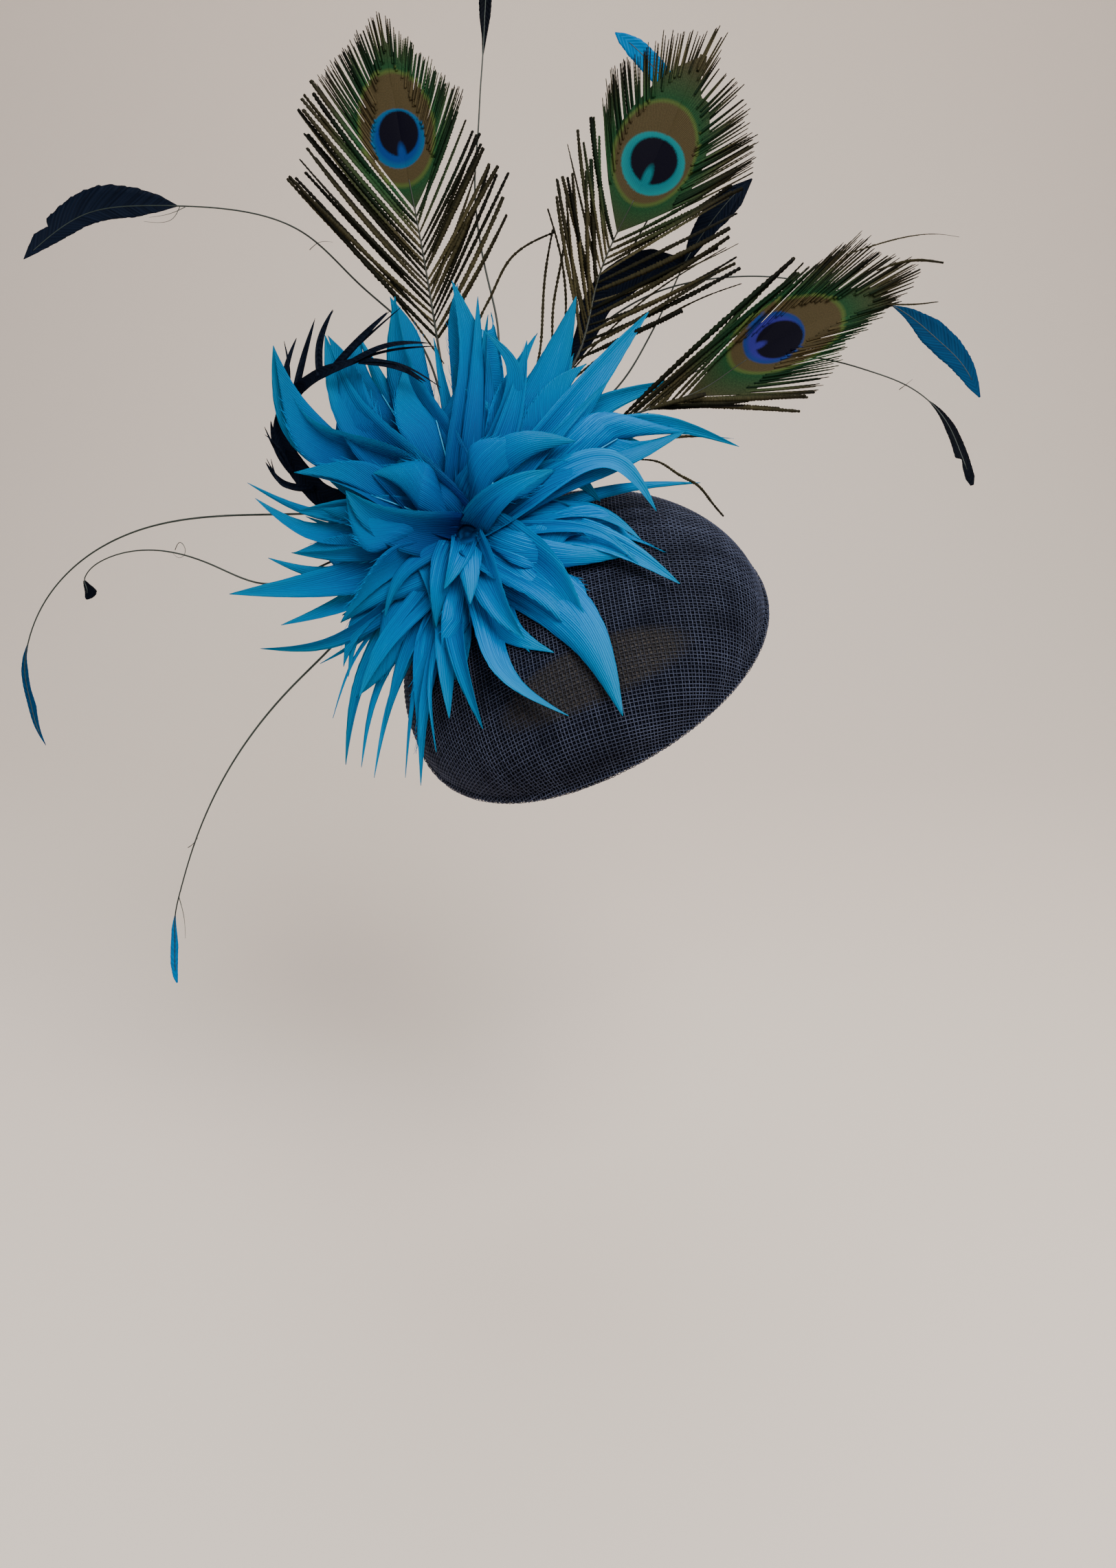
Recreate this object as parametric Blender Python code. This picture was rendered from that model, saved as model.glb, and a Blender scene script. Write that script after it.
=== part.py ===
"""A feather fascinator: a domed round base of stiffened straw cloth with a comb inside it,
a bloom of curled goose feathers on a stem, three peacock eye feathers, two dark feathers
and nine stripped feathers on long bare quills.

The part stands as it is worn. Its origin is the centre of the base's rim, +Z is up, +X is
the wearer's left as the front view shows it, and the front view looks along +Y. Sizes in
the tables are millimetres and degrees. Blender's metres come in with MM.
"""

import math

import bpy
import bmesh
import numpy as np
from mathutils import Euler, Vector

MM = 0.001
GAP = 0.3

# The base: a dome of stiffened straw cloth, tipped as it sits on the side of the head
BASE_RADIUS = 75.0
BASE_HEIGHT = 36.0
BASE_FULLNESS = 2.4
BASE_WALL = 1.5
BASE_TILT = 35.6
BASE_AZIMUTH = -129.0
RIM_DIP = 6.0
RIM_DIP_ANGLE = -33.8
RIM_ROLL = 1.3
# The rolled rim's section: how far out and down from the edge, as shares of RIM_ROLL
RIM_SECTION = ((0.9, -0.7), (0.9, -2.0), (-0.4, -2.9), (-2.1, -2.6), (-2.6, -1.2))
BASE_SIDES = 32
BASE_RINGS = 7
BASE_FIRST_RING = 0.06

# The comb inside the base, on the side that points to the crown of the head
COMB_OFFSET = -54.0
COMB_LENGTH = 56.0
COMB_BAR = 3.0
COMB_CLEARANCE = 0.8
COMB_DROP = 35.0
TOOTH_COUNT = 10
TOOTH_LENGTH = 30.0
TOOTH_THICKNESS = 1.6
# A tooth's taper: share of its length, share of its thickness
TOOTH_TAPER = ((0.0, 1.0), (0.75, 0.85), (1.0, 0.4))

# The bloom's heart, and the front elevation that every feather is laid out on. The
# elevation is a plane through the heart that leans back by VIEW_PITCH. A point that stands
# toward the viewer moves along its line of sight, which ends at SIGHT, as right, up, toward.
HEART = (-42.5, 1.5, 43.2)
VIEW_PITCH = 22.0
SIGHT = (35.0, -96.4, 455.5)

HEART_RADIUS = 7.5
HORN_START = 5.5
STEM_RADIUS = 9.0
STEM_SIDES = 12
STEM_SHOULDER = 4.5
STEM_NECK_RADIUS = 4.5
HORN_THICKNESS = 1.2
HORN_TIP_THICKNESS = 0.4
HORN_CUP = 0.16
HORN_SECTIONS = 6
SLIM_HORN = 12.5
THIN_HORN = 5.5
# A horn's width at share s of its length is its greatest width times
# (s + HORN_FOOT) ** HORN_SWELL * (1 - s) ** HORN_POINT / HORN_PEAK, plus HORN_TIP_WIDTH
HORN_FOOT = 0.05
HORN_SWELL = 0.5
HORN_POINT = 0.85
HORN_PEAK = 0.43
HORN_TIP_WIDTH = 0.5

# Each horn is half of a goose feather that was cut at its shaft and curled. Columns: right
# and up of two points on its middle line and of its tip, its greatest width, and how far
# the second point, the third and the tip stand toward the viewer.
HORNS = (
    # upper left
    (-30, 25, -63, 40, -75, 73, 18, 2, -2, -5),
    (-23, 23, -45, 47, -55, 77, 17, 5, 1, -4),
    (-14, 26, -30, 52, -42, 77, 10, -3, -4, -6),
    (-10, 32, -25, 63, -28, 92, 18, 2, -2, 2),
    (-3, 26, -8, 52, -13, 76, 6, -3, -4, -5),
    # top
    (1, 33, 2, 68, -6, 98, 16, 5, 2, -3),
    (2, 31, 4, 62, 4, 92, 8, 8, 6, 0),
    (3, 28, 6, 57, 8, 85, 8, 3, 3, 4),
    (12, 35, 17, 66, 6, 79, 10, 6, 10, 12),
    (11, 26, 19, 52, 23, 75, 9, 9, 9, 4),
    (17, 29, 31, 60, 42, 92, 20, 3, 0, -2),
    # upper right
    (25, 28, 47, 57, 70, 86, 14, 4, 2, -3),
    (18, 20, 37, 41, 55, 60, 5, 10, 10, 6),
    (24, 28, 54, 51, 83, 60, 12, -3, -10, -12),
    (32, 24, 68, 43, 105, 34, 11, 4, 4, 10),
    (29, 19, 58, 29, 86, 41, 12, 8, 10, 5),
    (27, 15, 56, 27, 73, 9, 14, 6, 12, 8),
    (30, 10, 60, 18, 90, 20, 5, 3, 2, -4),
    (6, 22, 22, 35, 42, 36, 14, 12, 18, 14),
    (9, 12, 20, 20, 33, 25, 10, 18, 24, 24),
    # right, over the base
    (24, 7, 50, 8, 67, -2, 10, 6, 8, 18),
    (28, 1, 57, -5, 82, -19, 13, 3, 19, 36),
    (24, 2, 49, 1, 66, -11, 5, 10, 16, 28),
    (21, -6, 42, -8, 62, -8, 11, 14, 19, 24),
    (26, -19, 48, -42, 60, -70, 20, 19, 46, 56),
    (6, -13, 13, -28, 22, -40, 12, 12, 21, 33),
    (8, -27, 16, -54, 39, -70, 13, 11, 36, 53),
    (-3, -25, -1, -50, 6, -75, 10, 4, 21, 36),
    (-5, -24, -8, -47, -7, -71, 11, -1, 13, 23),
    # the short ones in front of the heart
    (0, -9, 1, -18, 1, -27, 9, 14, 19, 21),
    (-3, -7, -6, -14, -9, -21, 8, 12, 17, 18),
    (-6, -9, -10, -23, -12, -36, 12, 10, 14, 10),
    # lower left
    (-14, -6, -26, -16, -32, -32, 6, 12, 14, 10),
    (-14, -21, -31, -41, -42, -63, 9, 7, 8, 6),
    (-10, -17, -21, -36, -33, -52, 9, 3, 3, 2),
    (-17, -14, -33, -22, -49, -34, 12, 10, 10, 6),
    (-20, -15, -40, -32, -46, -55, 6, 2, 2, 2),
    (-21, -27, -39, -55, -47, -89, 11, 2, 0, -3),
    (-22, -22, -43, -46, -52, -71, 3, 0, -2, -4),
    (-18, -30, -35, -60, -41, -90, 4, -2, -4, -6),
    (-15, -32, -29, -63, -36, -94, 4, 1, 1, 0),
    (-14, -25, -25, -50, -32, -75, 8, 4, 5, 4),
    (-13, -30, -21, -62, -24, -94, 3, 1, 4, 2),
    (-9, -32, -17, -65, -18, -97, 4, 1, 10, 6),
    (-7, -28, -14, -56, -12, -84, 3, 1, 12, 18),
    # left
    (-31, -13, -62, -20, -92, -23, 13, 4, 3, 0),
    (-22, -3, -45, -7, -68, -7, 8, 8, 9, 8),
    (-27, -9, -55, -15, -77, -9, 8, -1, -2, -3),
    (-30, 4, -62, 9, -85, 20, 5, -1, -3, -6),
    (-28, 2, -58, 0, -82, 14, 13, 1, 0, -4),
    (-23, 9, -46, 20, -67, 24, 11, 7, 6, 2),
    (-18, 1, -36, 7, -47, 17, 15, 12, 14, 12),
    (-7, 9, -16, 19, -28, 31, 14, 8, 9, 5),
    (-22, 6, -45, 9, -66, 9, 14, 3, 3, 1),
    (-24, -14, -50, -28, -72, -35, 11, 1, 0, -2),
    (-28, -25, -54, -41, -80, -44, 8, 5, 4, 1),
    (-24, -24, -43, -42, -57, -50, 4, -2, -4, -5),
)

# Where each quill leaves the stem: its angle round the stem, anticlockwise from the right
# in the front view, and its height over the base. Then its route, as right, up, toward.
# A peacock feather also has the length of its head and its widths from neck to tip, the
# length of its loose herls, their angles off the shaft and where the first pair leaves it.
ROOT_STUB = 5.0
PEACOCK_ROOT_WIDTH = 1.8
PEACOCK_TIP_WIDTH = 1.1
PEACOCK_SECTIONS = 12
PEACOCKS = {
    "peacock_feather_1": {
        "angle": 97, "height": 10.5,
        "route": ((-4, 38, -15), (-10, 65, -14), (-14, 90, -12), (-20, 124, -7),
                  (-26, 155, -4), (-33, 202, -2)),
        "head": 79, "widths": (2, 29, 43, 50, 38, 18, 2),
        "herl": 64, "left": 34, "right": 27, "first": 4,
    },
    "peacock_feather_2": {
        "angle": 55, "height": 10.5,
        "route": ((24, 38, -11), (43, 70, -10), (50, 97, -9), (60, 121, -6),
                  (73, 146, -2), (92, 192, 3)),
        "head": 78, "widths": (2, 27, 42, 48, 42, 30, 3),
        "herl": 56, "left": 17, "right": 44, "first": 4,
    },
    "peacock_feather_3": {
        "angle": 26, "height": 10.0,
        "route": ((32, 25, -7), (63, 46, -5), (94, 58, -3), (104, 65, -2),
                  (121, 75, 0), (168, 98, 4)),
        "head": 80, "widths": (2, 24, 35, 38, 32, 26, 3),
        "herl": 58, "left": 20, "right": 26, "first": 4,
    },
}
SHAFT_IN_HEAD = 0.6
HEAD_THICKNESS = 1.2
HEAD_CUP = 0.05
HERL_PAIRS = 5
HERL_STEP = 9.0
HERL_LAG = 4.0
HERL_WIDTH = 1.8
HERL_THICKNESS = 1.0
HERL_LIFT = 0.15
# A herl's shape: share of its length, share of its angle off the shaft, share of its width
HERL_SHAPE = ((0.0, 1.25, 0.6), (0.35, 1.2, 1.0), (0.7, 1.1, 0.8), (1.0, 1.0, 0.3))

# Stripped feathers: a bare quill with the blade left on its end. The blade starts at the
# numbered point of the route, and its widths run from there to the tip.
QUILL_ROOT_WIDTH = 1.5
QUILL_TIP_WIDTH = 0.9
QUILL_SECTIONS = 19
BLADE_THICKNESS = 1.0
STRIPPED = {
    "stripped_feather_1": {
        "angle": 112, "height": 4.5, "blade": 5, "widths": (2, 11, 13, 9, 1),
        "route": ((-8, 45, -18), (-19, 75, -20), (-42, 97, -20), (-64, 117, -17),
                  (-95, 126, -12), (-113, 127, -10), (-126, 127, -9), (-147, 124, -8),
                  (-164, 113, -6), (-173, 105, -5)),
    },
    "stripped_feather_2": {
        "angle": 84, "height": 6.0, "blade": 6, "widths": (1.5, 6, 8, 1),
        "route": ((8, 40, -17), (12, 77, -17), (8, 98, -15), (3, 141, -10),
                  (4, 154, -8), (5, 172, -6), (6, 186, -5), (7, 206, -4),
                  (8, 218, -3), (9, 230, -2)),
    },
    "stripped_feather_3": {
        "angle": 64, "height": 3.0, "blade": 4, "widths": (2, 8, 9.5, 8, 1),
        "route": ((20, 36, -25), (45, 80, -32), (66, 115, -32), (80, 140, -28),
                  (86, 156, -25), (82, 168, -22), (74, 178, -20), (66, 187, -18),
                  (57, 194, -16)),
    },
    "stripped_feather_4": {
        "angle": 44, "height": 6.5, "blade": 4, "widths": (1.5, 11, 11, 1),
        "route": ((30, 30, -18), (58, 57, -18), (69, 74, -18), (78, 92, -18),
                  (84, 105, -17), (93, 119, -16), (101, 129, -15), (109, 137, -14)),
    },
    "stripped_feather_5": {
        "angle": 54, "height": 5.5, "blade": 6, "widths": (2, 11, 14, 11, 1),
        "route": ((32, 58, -27), (53, 82, -28), (74, 94, -28), (96, 99, -27),
                  (123, 99, -26), (146, 94, -24), (165, 88, -22), (174, 82, -21),
                  (182, 75, -20), (191, 66, -19), (198, 53, -18)),
    },
    "stripped_feather_6": {
        "angle": 30, "height": 3.5, "blade": 6, "widths": (1.5, 6, 8, 6, 1),
        "route": ((45, 37, -15), (85, 62, -18), (125, 69, -16), (142, 67, -13),
                  (156, 63, -10), (169, 58, -8), (179, 51, -6), (186, 42, -5),
                  (190, 33, -4), (193, 25, -3), (195, 19, -3)),
    },
    "stripped_feather_7": {
        "angle": 174, "height": 5.0, "blade": 6, "widths": (1.2, 2.8, 3, 2.6, 1),
        "route": ((-30, 4, -13), (-65, 8, -10), (-98, 7, -6), (-126, 2, -3),
                  (-149, -10, 0), (-165, -29, 2), (-170, -43, 3), (-171, -53, 3),
                  (-169, -64, 3), (-166, -75, 3), (-162, -83, 3)),
    },
    "stripped_feather_8": {
        "angle": 198, "height": 7.0, "blade": 6, "widths": (1.2, 3.5, 5.4, 4, 1.2),
        "route": ((-40, -7, -10), (-78, -19, -8), (-98, -12, -6), (-123, -6, -4),
                  (-141, -10, -3), (-147, -15, -3), (-148, -18, -3), (-147, -21, -3),
                  (-147, -24, -3), (-147, -27, -3)),
    },
    "stripped_feather_9": {
        "angle": 222, "height": 5.0, "blade": 6, "widths": (1.4, 2.8, 2.8, 2.6, 1.6),
        "route": ((-30, -24, -8), (-54, -45, -8), (-68, -59, -6), (-93, -92, 0),
                  (-107, -124, 3), (-111, -138, 4), (-113, -148, 4), (-113, -157, 4),
                  (-113, -166, 4), (-112, -174, 4)),
    },
}

# The dark feathers: a curled one at the left that is split into spikes, and a plain one
# behind the second peacock feather. Spikes: a start, a point half way, and the tip.
SPIKED_BODY = {
    "angle": 158, "height": 8.5, "widths": (1.5, 2.5, 9, 10, 8, 6, 5, 4, 1),
    "route": ((-30, 10, -9), (-54, 14, -9), (-65, 25, -9), (-72, 40, -9), (-67, 54, -8),
              (-61.5, 59, -2), (-56, 62.5, 5), (-47, 66, 8), (-37, 69, 8)),
}
DARK_THICKNESS = 1.2
DARK_CUP = 0.1
DARK_SECTIONS = 20
SPIKE_THICKNESS = 1.0
SPIKE_WIDTHS = (2.4, 3.4, 2.7, 1.7, 0.5)
SPIKES = (
    ((-68, 24, -8), (-74, 34, -9), (-76, 44, -9)),
    ((-59, 18, -8), (-71, 20, -9), (-78, 28, -9)),
    ((-70, 49, -8), (-70, 63, -10), (-66, 76, -12)),
    ((-67, 52, -7), (-63, 69, -9), (-59, 83, -10)),
    ((-57, 61, 4), (-57, 74, 4), (-52, 87, 3)),
    ((-52, 64, 7), (-41, 76, 9), (-31, 86, 9)),
    ((-44, 67, 8), (-30, 73, 9), (-15, 74, 9)),
    ((-42, 67, 8), (-28, 65, 9), (-16, 59, 10)),
)
DARK_FEATHER = {
    "angle": 66, "height": 8.0, "widths": (1.5, 1.5, 2, 5, 8, 10, 10, 8, 1),
    "route": ((22, 36, -18), (40, 70, -22), (50, 88, -22), (58, 99, -22),
              (69, 104, -22), (80, 107, -22), (90, 113, -21), (98, 118, -20)),
}

NAVY_STRAW = (0.010, 0.014, 0.032)
BLUE_FEATHER = (0.004, 0.260, 0.620)
TEAL_FEATHER = (0.003, 0.110, 0.230)
NAVY_FEATHER = (0.006, 0.012, 0.030)
PEACOCK_GREEN = (0.050, 0.085, 0.030)
COMB_BLACK = (0.012, 0.012, 0.014)


def clear_scene():
    """Remove whatever the open file holds."""
    for item in list(bpy.data.objects):
        bpy.data.objects.remove(item)


def make_material(name, colour, roughness):
    """Return a Principled material of one colour."""
    material = bpy.data.materials.new(name)
    material.use_nodes = True
    shader = material.node_tree.nodes["Principled BSDF"]
    shader.inputs["Base Color"].default_value = (*colour, 1.0)
    shader.inputs["Roughness"].default_value = roughness
    shader.inputs["Metallic"].default_value = 0.0
    return material


def add_object(name, points, faces, parent, material=None):
    """Add a closed mesh from points in millimetres, faces turned outward.

    It is made of triangles, so that a union leaves no bent faces behind.
    """
    mesh = bpy.data.meshes.new(name)
    mesh.from_pydata([tuple(point * MM) for point in points], [], faces)
    shell = bmesh.new()
    shell.from_mesh(mesh)
    bmesh.ops.recalc_face_normals(shell, faces=shell.faces)
    bmesh.ops.triangulate(shell, faces=shell.faces)
    shell.to_mesh(mesh)
    shell.free()
    if material:
        mesh.materials.append(material)
    item = bpy.data.objects.new(name, mesh)
    item.parent = parent
    bpy.context.scene.collection.objects.link(item)
    return item


def join_rings(rings):
    """Return the faces that join rings of equal length, with a cap on either end."""
    sides = rings[0].shape[0]
    faces = []
    for ring in range(len(rings) - 1):
        for side in range(sides):
            after = (side + 1) % sides
            low = ring * sides
            high = low + sides
            faces.append((low + side, low + after, high + after, high + side))
    faces.append(tuple(range(sides - 1, -1, -1)))
    last = (len(rings) - 1) * sides
    faces.append(tuple(range(last, last + sides)))
    return faces


def fuse(body, others):
    """Union the other solids into the body, and keep them as hidden tools."""
    tools = bpy.data.collections.new(body.name + "_tools")
    bpy.context.scene.collection.children.link(tools)
    for item in others:
        bpy.context.scene.collection.objects.unlink(item)
        tools.objects.link(item)
        item.hide_render = True
        item.display_type = "WIRE"
    union = body.modifiers.new("union", "BOOLEAN")
    union.operation = "UNION"
    union.solver = "EXACT"
    union.operand_type = "COLLECTION"
    union.collection = tools


def dome_height(x, y, radius=BASE_RADIUS, height=BASE_HEIGHT):
    """Return the dome's height over its rim plane: a superellipse, with the rim's dip."""
    reach = np.hypot(x, y) / radius
    rise = np.clip(1.0 - reach ** BASE_FULLNESS, 0.0, None) ** (1.0 / BASE_FULLNESS)
    turn = np.arctan2(y, x) - math.radians(RIM_DIP_ANGLE)
    return height * rise - RIM_DIP * np.cos(2.0 * turn) * reach ** 2


def dome_ring(reach, height, turns):
    """Return one ring of the dome at a given reach from the axis and height."""
    x = reach * np.cos(turns)
    y = reach * np.sin(turns)
    dip = RIM_DIP * np.cos(2.0 * (turns - math.radians(RIM_DIP_ANGLE)))
    return np.stack([x, y, height - dip * (reach / BASE_RADIUS) ** 2], axis=1)


def add_base(parent, material):
    """Add the hollow dome: outer skin, rolled rim and inner skin as rings round its axis."""
    turns = np.linspace(0.0, 2.0 * math.pi, BASE_SIDES, endpoint=False)
    steps = np.linspace(BASE_FIRST_RING, 1.0, BASE_RINGS) * math.pi / 2.0
    power = 2.0 / BASE_FULLNESS
    inner_radius = BASE_RADIUS - BASE_WALL
    inner_height = BASE_HEIGHT - BASE_WALL
    rings = [
        dome_ring(BASE_RADIUS * math.sin(step) ** power, BASE_HEIGHT * math.cos(step) ** power, turns)
        for step in steps
    ]
    for out, down in RIM_SECTION:
        rings.append(dome_ring(BASE_RADIUS + out * RIM_ROLL, down * RIM_ROLL, turns))
    rings += [
        dome_ring(inner_radius * math.sin(step) ** power, inner_height * math.cos(step) ** power, turns)
        for step in steps[-2::-1]
    ]
    return add_object("base_shell", np.concatenate(rings), join_rings(rings), parent, material)


def add_comb(parent, material):
    """Add the comb: a bar that is bowed along the inside of the dome, and its teeth."""
    across = np.linspace(-COMB_LENGTH / 2.0, COMB_LENGTH / 2.0, 9)
    inside = dome_height(COMB_OFFSET, across, BASE_RADIUS - BASE_WALL, BASE_HEIGHT - BASE_WALL)
    seat = dome_height(COMB_OFFSET - COMB_BAR / 2.0, across, BASE_RADIUS - BASE_WALL,
                       BASE_HEIGHT - BASE_WALL)
    top = np.minimum(inside, seat) - COMB_CLEARANCE
    half = COMB_BAR / 2.0
    rings = []
    for y, z in zip(across, top):
        corners = ((-half, 0.0), (half, 0.0), (half, -COMB_BAR), (-half, -COMB_BAR))
        rings.append(np.array([(COMB_OFFSET + dx, y, z + dz) for dx, dz in corners]))
    comb = add_object("hair_comb", np.concatenate(rings), join_rings(rings), parent, material)
    drop = math.radians(COMB_DROP)
    along = np.array([math.cos(drop), 0.0, -math.sin(drop)])
    thick = np.array([math.sin(drop), 0.0, math.cos(drop)])
    wide = np.array([0.0, 1.0, 0.0])
    teeth = []
    spread = COMB_LENGTH / 2.0 - TOOTH_THICKNESS
    for number, y in enumerate(np.linspace(-spread, spread, TOOTH_COUNT)):
        z = np.interp(y, across, top) - half
        start = np.array([COMB_OFFSET - half / 2.0, y, z])
        tooth = []
        for share, size in TOOTH_TAPER:
            centre = start + along * TOOTH_LENGTH * share
            reach = size * TOOTH_THICKNESS / 2.0
            tooth.append(np.array([centre + reach * (a * wide + b * thick)
                                   for a, b in ((-1, -1), (1, -1), (1, 1), (-1, 1))]))
        teeth.append(add_object(f"comb_tooth_{number}", np.concatenate(tooth),
                                join_rings(tooth), parent))
    fuse(comb, teeth)
    return comb


def on_elevation(rows):
    """Move rows of right, up, toward along their lines of sight into the heart's frame."""
    rows = np.asarray(rows, dtype=float)
    share = rows[:, 2:3] / SIGHT[2]
    flat = rows * np.array([1.0, 1.0, 0.0])
    return flat * (1.0 - share) + np.array(SIGHT) * share


def smooth_route(stations, count):
    """Return points evenly along a natural cubic spline through the stations."""
    stations = np.asarray(stations, dtype=float)
    knots = np.concatenate([[0.0], np.cumsum(np.linalg.norm(np.diff(stations, axis=0), axis=1))])
    span = np.diff(knots)
    size = len(knots)
    matrix = np.eye(size)
    right = np.zeros_like(stations)
    slope = np.diff(stations, axis=0) / span[:, None]
    for row in range(1, size - 1):
        matrix[row, row - 1] = span[row - 1]
        matrix[row, row] = 2.0 * (span[row - 1] + span[row])
        matrix[row, row + 1] = span[row]
        right[row] = 6.0 * (slope[row] - slope[row - 1])
    bend = np.linalg.solve(matrix, right)
    where = np.linspace(0.0, knots[-1], count)
    part = np.clip(np.searchsorted(knots, where, side="right") - 1, 0, size - 2)
    step = span[part][:, None]
    before = (where - knots[part])[:, None]
    after = step - before
    curve = (bend[part] * after ** 3 + bend[part + 1] * before ** 3) / (6.0 * step)
    curve += (stations[part] / step - bend[part] * step / 6.0) * after
    return curve + (stations[part + 1] / step - bend[part + 1] * step / 6.0) * before


def cross_frames(points, facing):
    """Return the side and face directions of a strip at each of its points."""
    along = np.gradient(points, axis=0)
    along /= np.linalg.norm(along, axis=1)[:, None]
    side = np.cross(along, facing)
    side /= np.linalg.norm(side, axis=1)[:, None]
    return side, np.cross(side, along)


def add_strip(name, points, widths, depths, parent, material=None, cup=0.0,
              facing=(0.0, 0.0, 1.0)):
    """Add a closed strip of diamond section, whose middle stands up by cup times its width."""
    side, face = cross_frames(points, np.array(facing))
    half = np.asarray(widths)[:, None] / 2.0
    deep = np.asarray(depths)[:, None] / 2.0
    crown = face * 2.0 * half * cup
    rings = np.stack([points - side * half, points + crown - face * deep,
                      points + side * half, points + crown + face * deep], axis=1)
    return add_object(name, rings.reshape(-1, 3), join_rings(rings), parent, material)


def add_horn(number, row, parent):
    """Add one curled horn from the heart to its tip."""
    x1, z1, x2, z2, x3, z3, width, near1, near2, near3 = row
    lead = HORN_START / math.hypot(x1, z1)
    root = (lead * x1, lead * z1, np.clip(0.35 * near1, -2.0, 4.0))
    stations = on_elevation([root, (x1, z1, near1), (x2, z2, near2), (x3, z3, near3)])
    sections = HORN_SECTIONS - (width < SLIM_HORN) - (width < THIN_HORN)
    points = smooth_route(stations, sections)
    along = np.linspace(0.0, 1.0, sections)
    shape = (along + HORN_FOOT) ** HORN_SWELL * (1.0 - along) ** HORN_POINT
    widths = width * shape / HORN_PEAK + HORN_TIP_WIDTH
    depths = np.interp(along, [0.8, 1.0], [HORN_THICKNESS, HORN_TIP_THICKNESS])
    return add_strip(f"horn_{number}", points, widths, depths, parent, cup=HORN_CUP)


def stem_frame(base_matrix, heart_matrix):
    """Return the stem's foot, axis, right and up directions in the heart's frame, in mm."""
    to_heart = heart_matrix.inverted()
    heart_in_base = base_matrix.inverted() @ (Vector(HEART) * MM)
    foot = Vector((heart_in_base.x, heart_in_base.y, 0.0))
    foot.z = float(dome_height(foot.x / MM, foot.y / MM)) * MM
    foot_point = np.array(to_heart @ (base_matrix @ foot)) / MM
    axis = np.array(to_heart.to_3x3() @ base_matrix.to_3x3() @ Vector((0.0, 0.0, 1.0)))
    up = np.array([0.0, 1.0, 0.0]) - axis * axis[1]
    up /= np.linalg.norm(up)
    return foot_point, axis, np.cross(up, axis), up


def stem_root(frame, angle, height):
    """Return the first two points of a quill that leaves the stem square to its side."""
    foot, axis, right, up = frame
    turn = math.radians(angle)
    outward = right * math.cos(turn) + up * math.sin(turn)
    level = foot + axis * height
    return [level + outward * (STEM_RADIUS + GAP), level + outward * (STEM_RADIUS + ROOT_STUB)]


def add_stem(parent):
    """Add the bound stem that stands on the dome and ends inside the heart."""
    heart_in_base = parent.matrix_world.inverted() @ (Vector(HEART) * MM) / MM
    turns = np.linspace(0.0, 2.0 * math.pi, STEM_SIDES, endpoint=False)
    x = heart_in_base.x + STEM_RADIUS * np.cos(turns)
    y = heart_in_base.y + STEM_RADIUS * np.sin(turns)
    foot = np.stack([x, y, dome_height(x, y) + GAP], axis=1)
    x = heart_in_base.x + STEM_NECK_RADIUS * np.cos(turns)
    y = heart_in_base.y + STEM_NECK_RADIUS * np.sin(turns)
    neck = np.stack([x, y, np.full(STEM_SIDES, heart_in_base.z)], axis=1)
    waist = foot.copy()
    waist[:, 2] = heart_in_base.z - STEM_SHOULDER
    rings = [foot, waist, neck]
    return add_object("bloom_stem", np.concatenate(rings), join_rings(rings), parent)


def add_bloom(base_frame, heart_frame, material):
    """Add the bloom: a round heart, its horns and the stem, fused into one body."""
    heart_mesh = bpy.data.meshes.new("feather_flower")
    ball = bmesh.new()
    bmesh.ops.create_uvsphere(ball, u_segments=8, v_segments=6, radius=HEART_RADIUS * MM)
    bmesh.ops.triangulate(ball, faces=ball.faces)
    ball.to_mesh(heart_mesh)
    ball.free()
    heart_mesh.materials.append(material)
    bloom = bpy.data.objects.new("feather_flower", heart_mesh)
    bloom.parent = heart_frame
    bpy.context.scene.collection.objects.link(bloom)
    horns = [add_horn(number, row, heart_frame) for number, row in enumerate(HORNS)]
    fuse(bloom, horns + [add_stem(base_frame)])
    return bloom


def add_peacock(name, plan, frame, parent, material):
    """Add a peacock feather: its shaft, the flat head round the eye, and loose herls."""
    stations = stem_root(frame, plan["angle"], plan["height"])
    stations = np.concatenate([stations, on_elevation(plan["route"])])
    shaft = smooth_route(stations, 121)
    travel = np.concatenate([[0.0], np.cumsum(np.linalg.norm(np.diff(shaft, axis=0), axis=1))])
    neck = travel[-1] - plan["head"]

    def at(distance):
        return np.array([np.interp(distance, travel, shaft[:, axis]) for axis in range(3)]).T

    stem_points = at(np.linspace(0.0, neck + SHAFT_IN_HEAD * plan["head"], PEACOCK_SECTIONS))
    thickness = np.linspace(PEACOCK_ROOT_WIDTH, PEACOCK_TIP_WIDTH, PEACOCK_SECTIONS)
    body = add_strip(name, stem_points, thickness, thickness, parent, material)
    head_points = at(np.linspace(neck, travel[-1] - 0.5, len(plan["widths"])))
    tools = [add_strip(name + "_head", head_points, plan["widths"],
                       [HEAD_THICKNESS] * len(head_points), parent, cup=HEAD_CUP)]
    share, lean, breadth = np.array(HERL_SHAPE).T[:, :, None]
    for pair in range(HERL_PAIRS):
        for sign, spread, lag in ((-1.0, plan["left"], 0.0), (1.0, plan["right"], HERL_LAG)):
            start = neck - plan["first"] - pair * HERL_STEP - lag
            root = at(start)
            forward = at(start + 5.0) - root
            forward /= np.linalg.norm(forward)
            side = np.cross(forward, (0.0, 0.0, 1.0))
            side /= np.linalg.norm(side)
            turn = math.radians(spread) * lean
            line = root + plan["herl"] * share * (np.cos(turn) * forward + sign * np.sin(turn) * side)
            line[:, 2] += HERL_LIFT
            tools.append(add_strip(f"{name}_herl_{pair}_{spread}", line, HERL_WIDTH * breadth[:, 0],
                                   [HERL_THICKNESS] * len(line), parent))
    fuse(body, tools)
    return body


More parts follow.
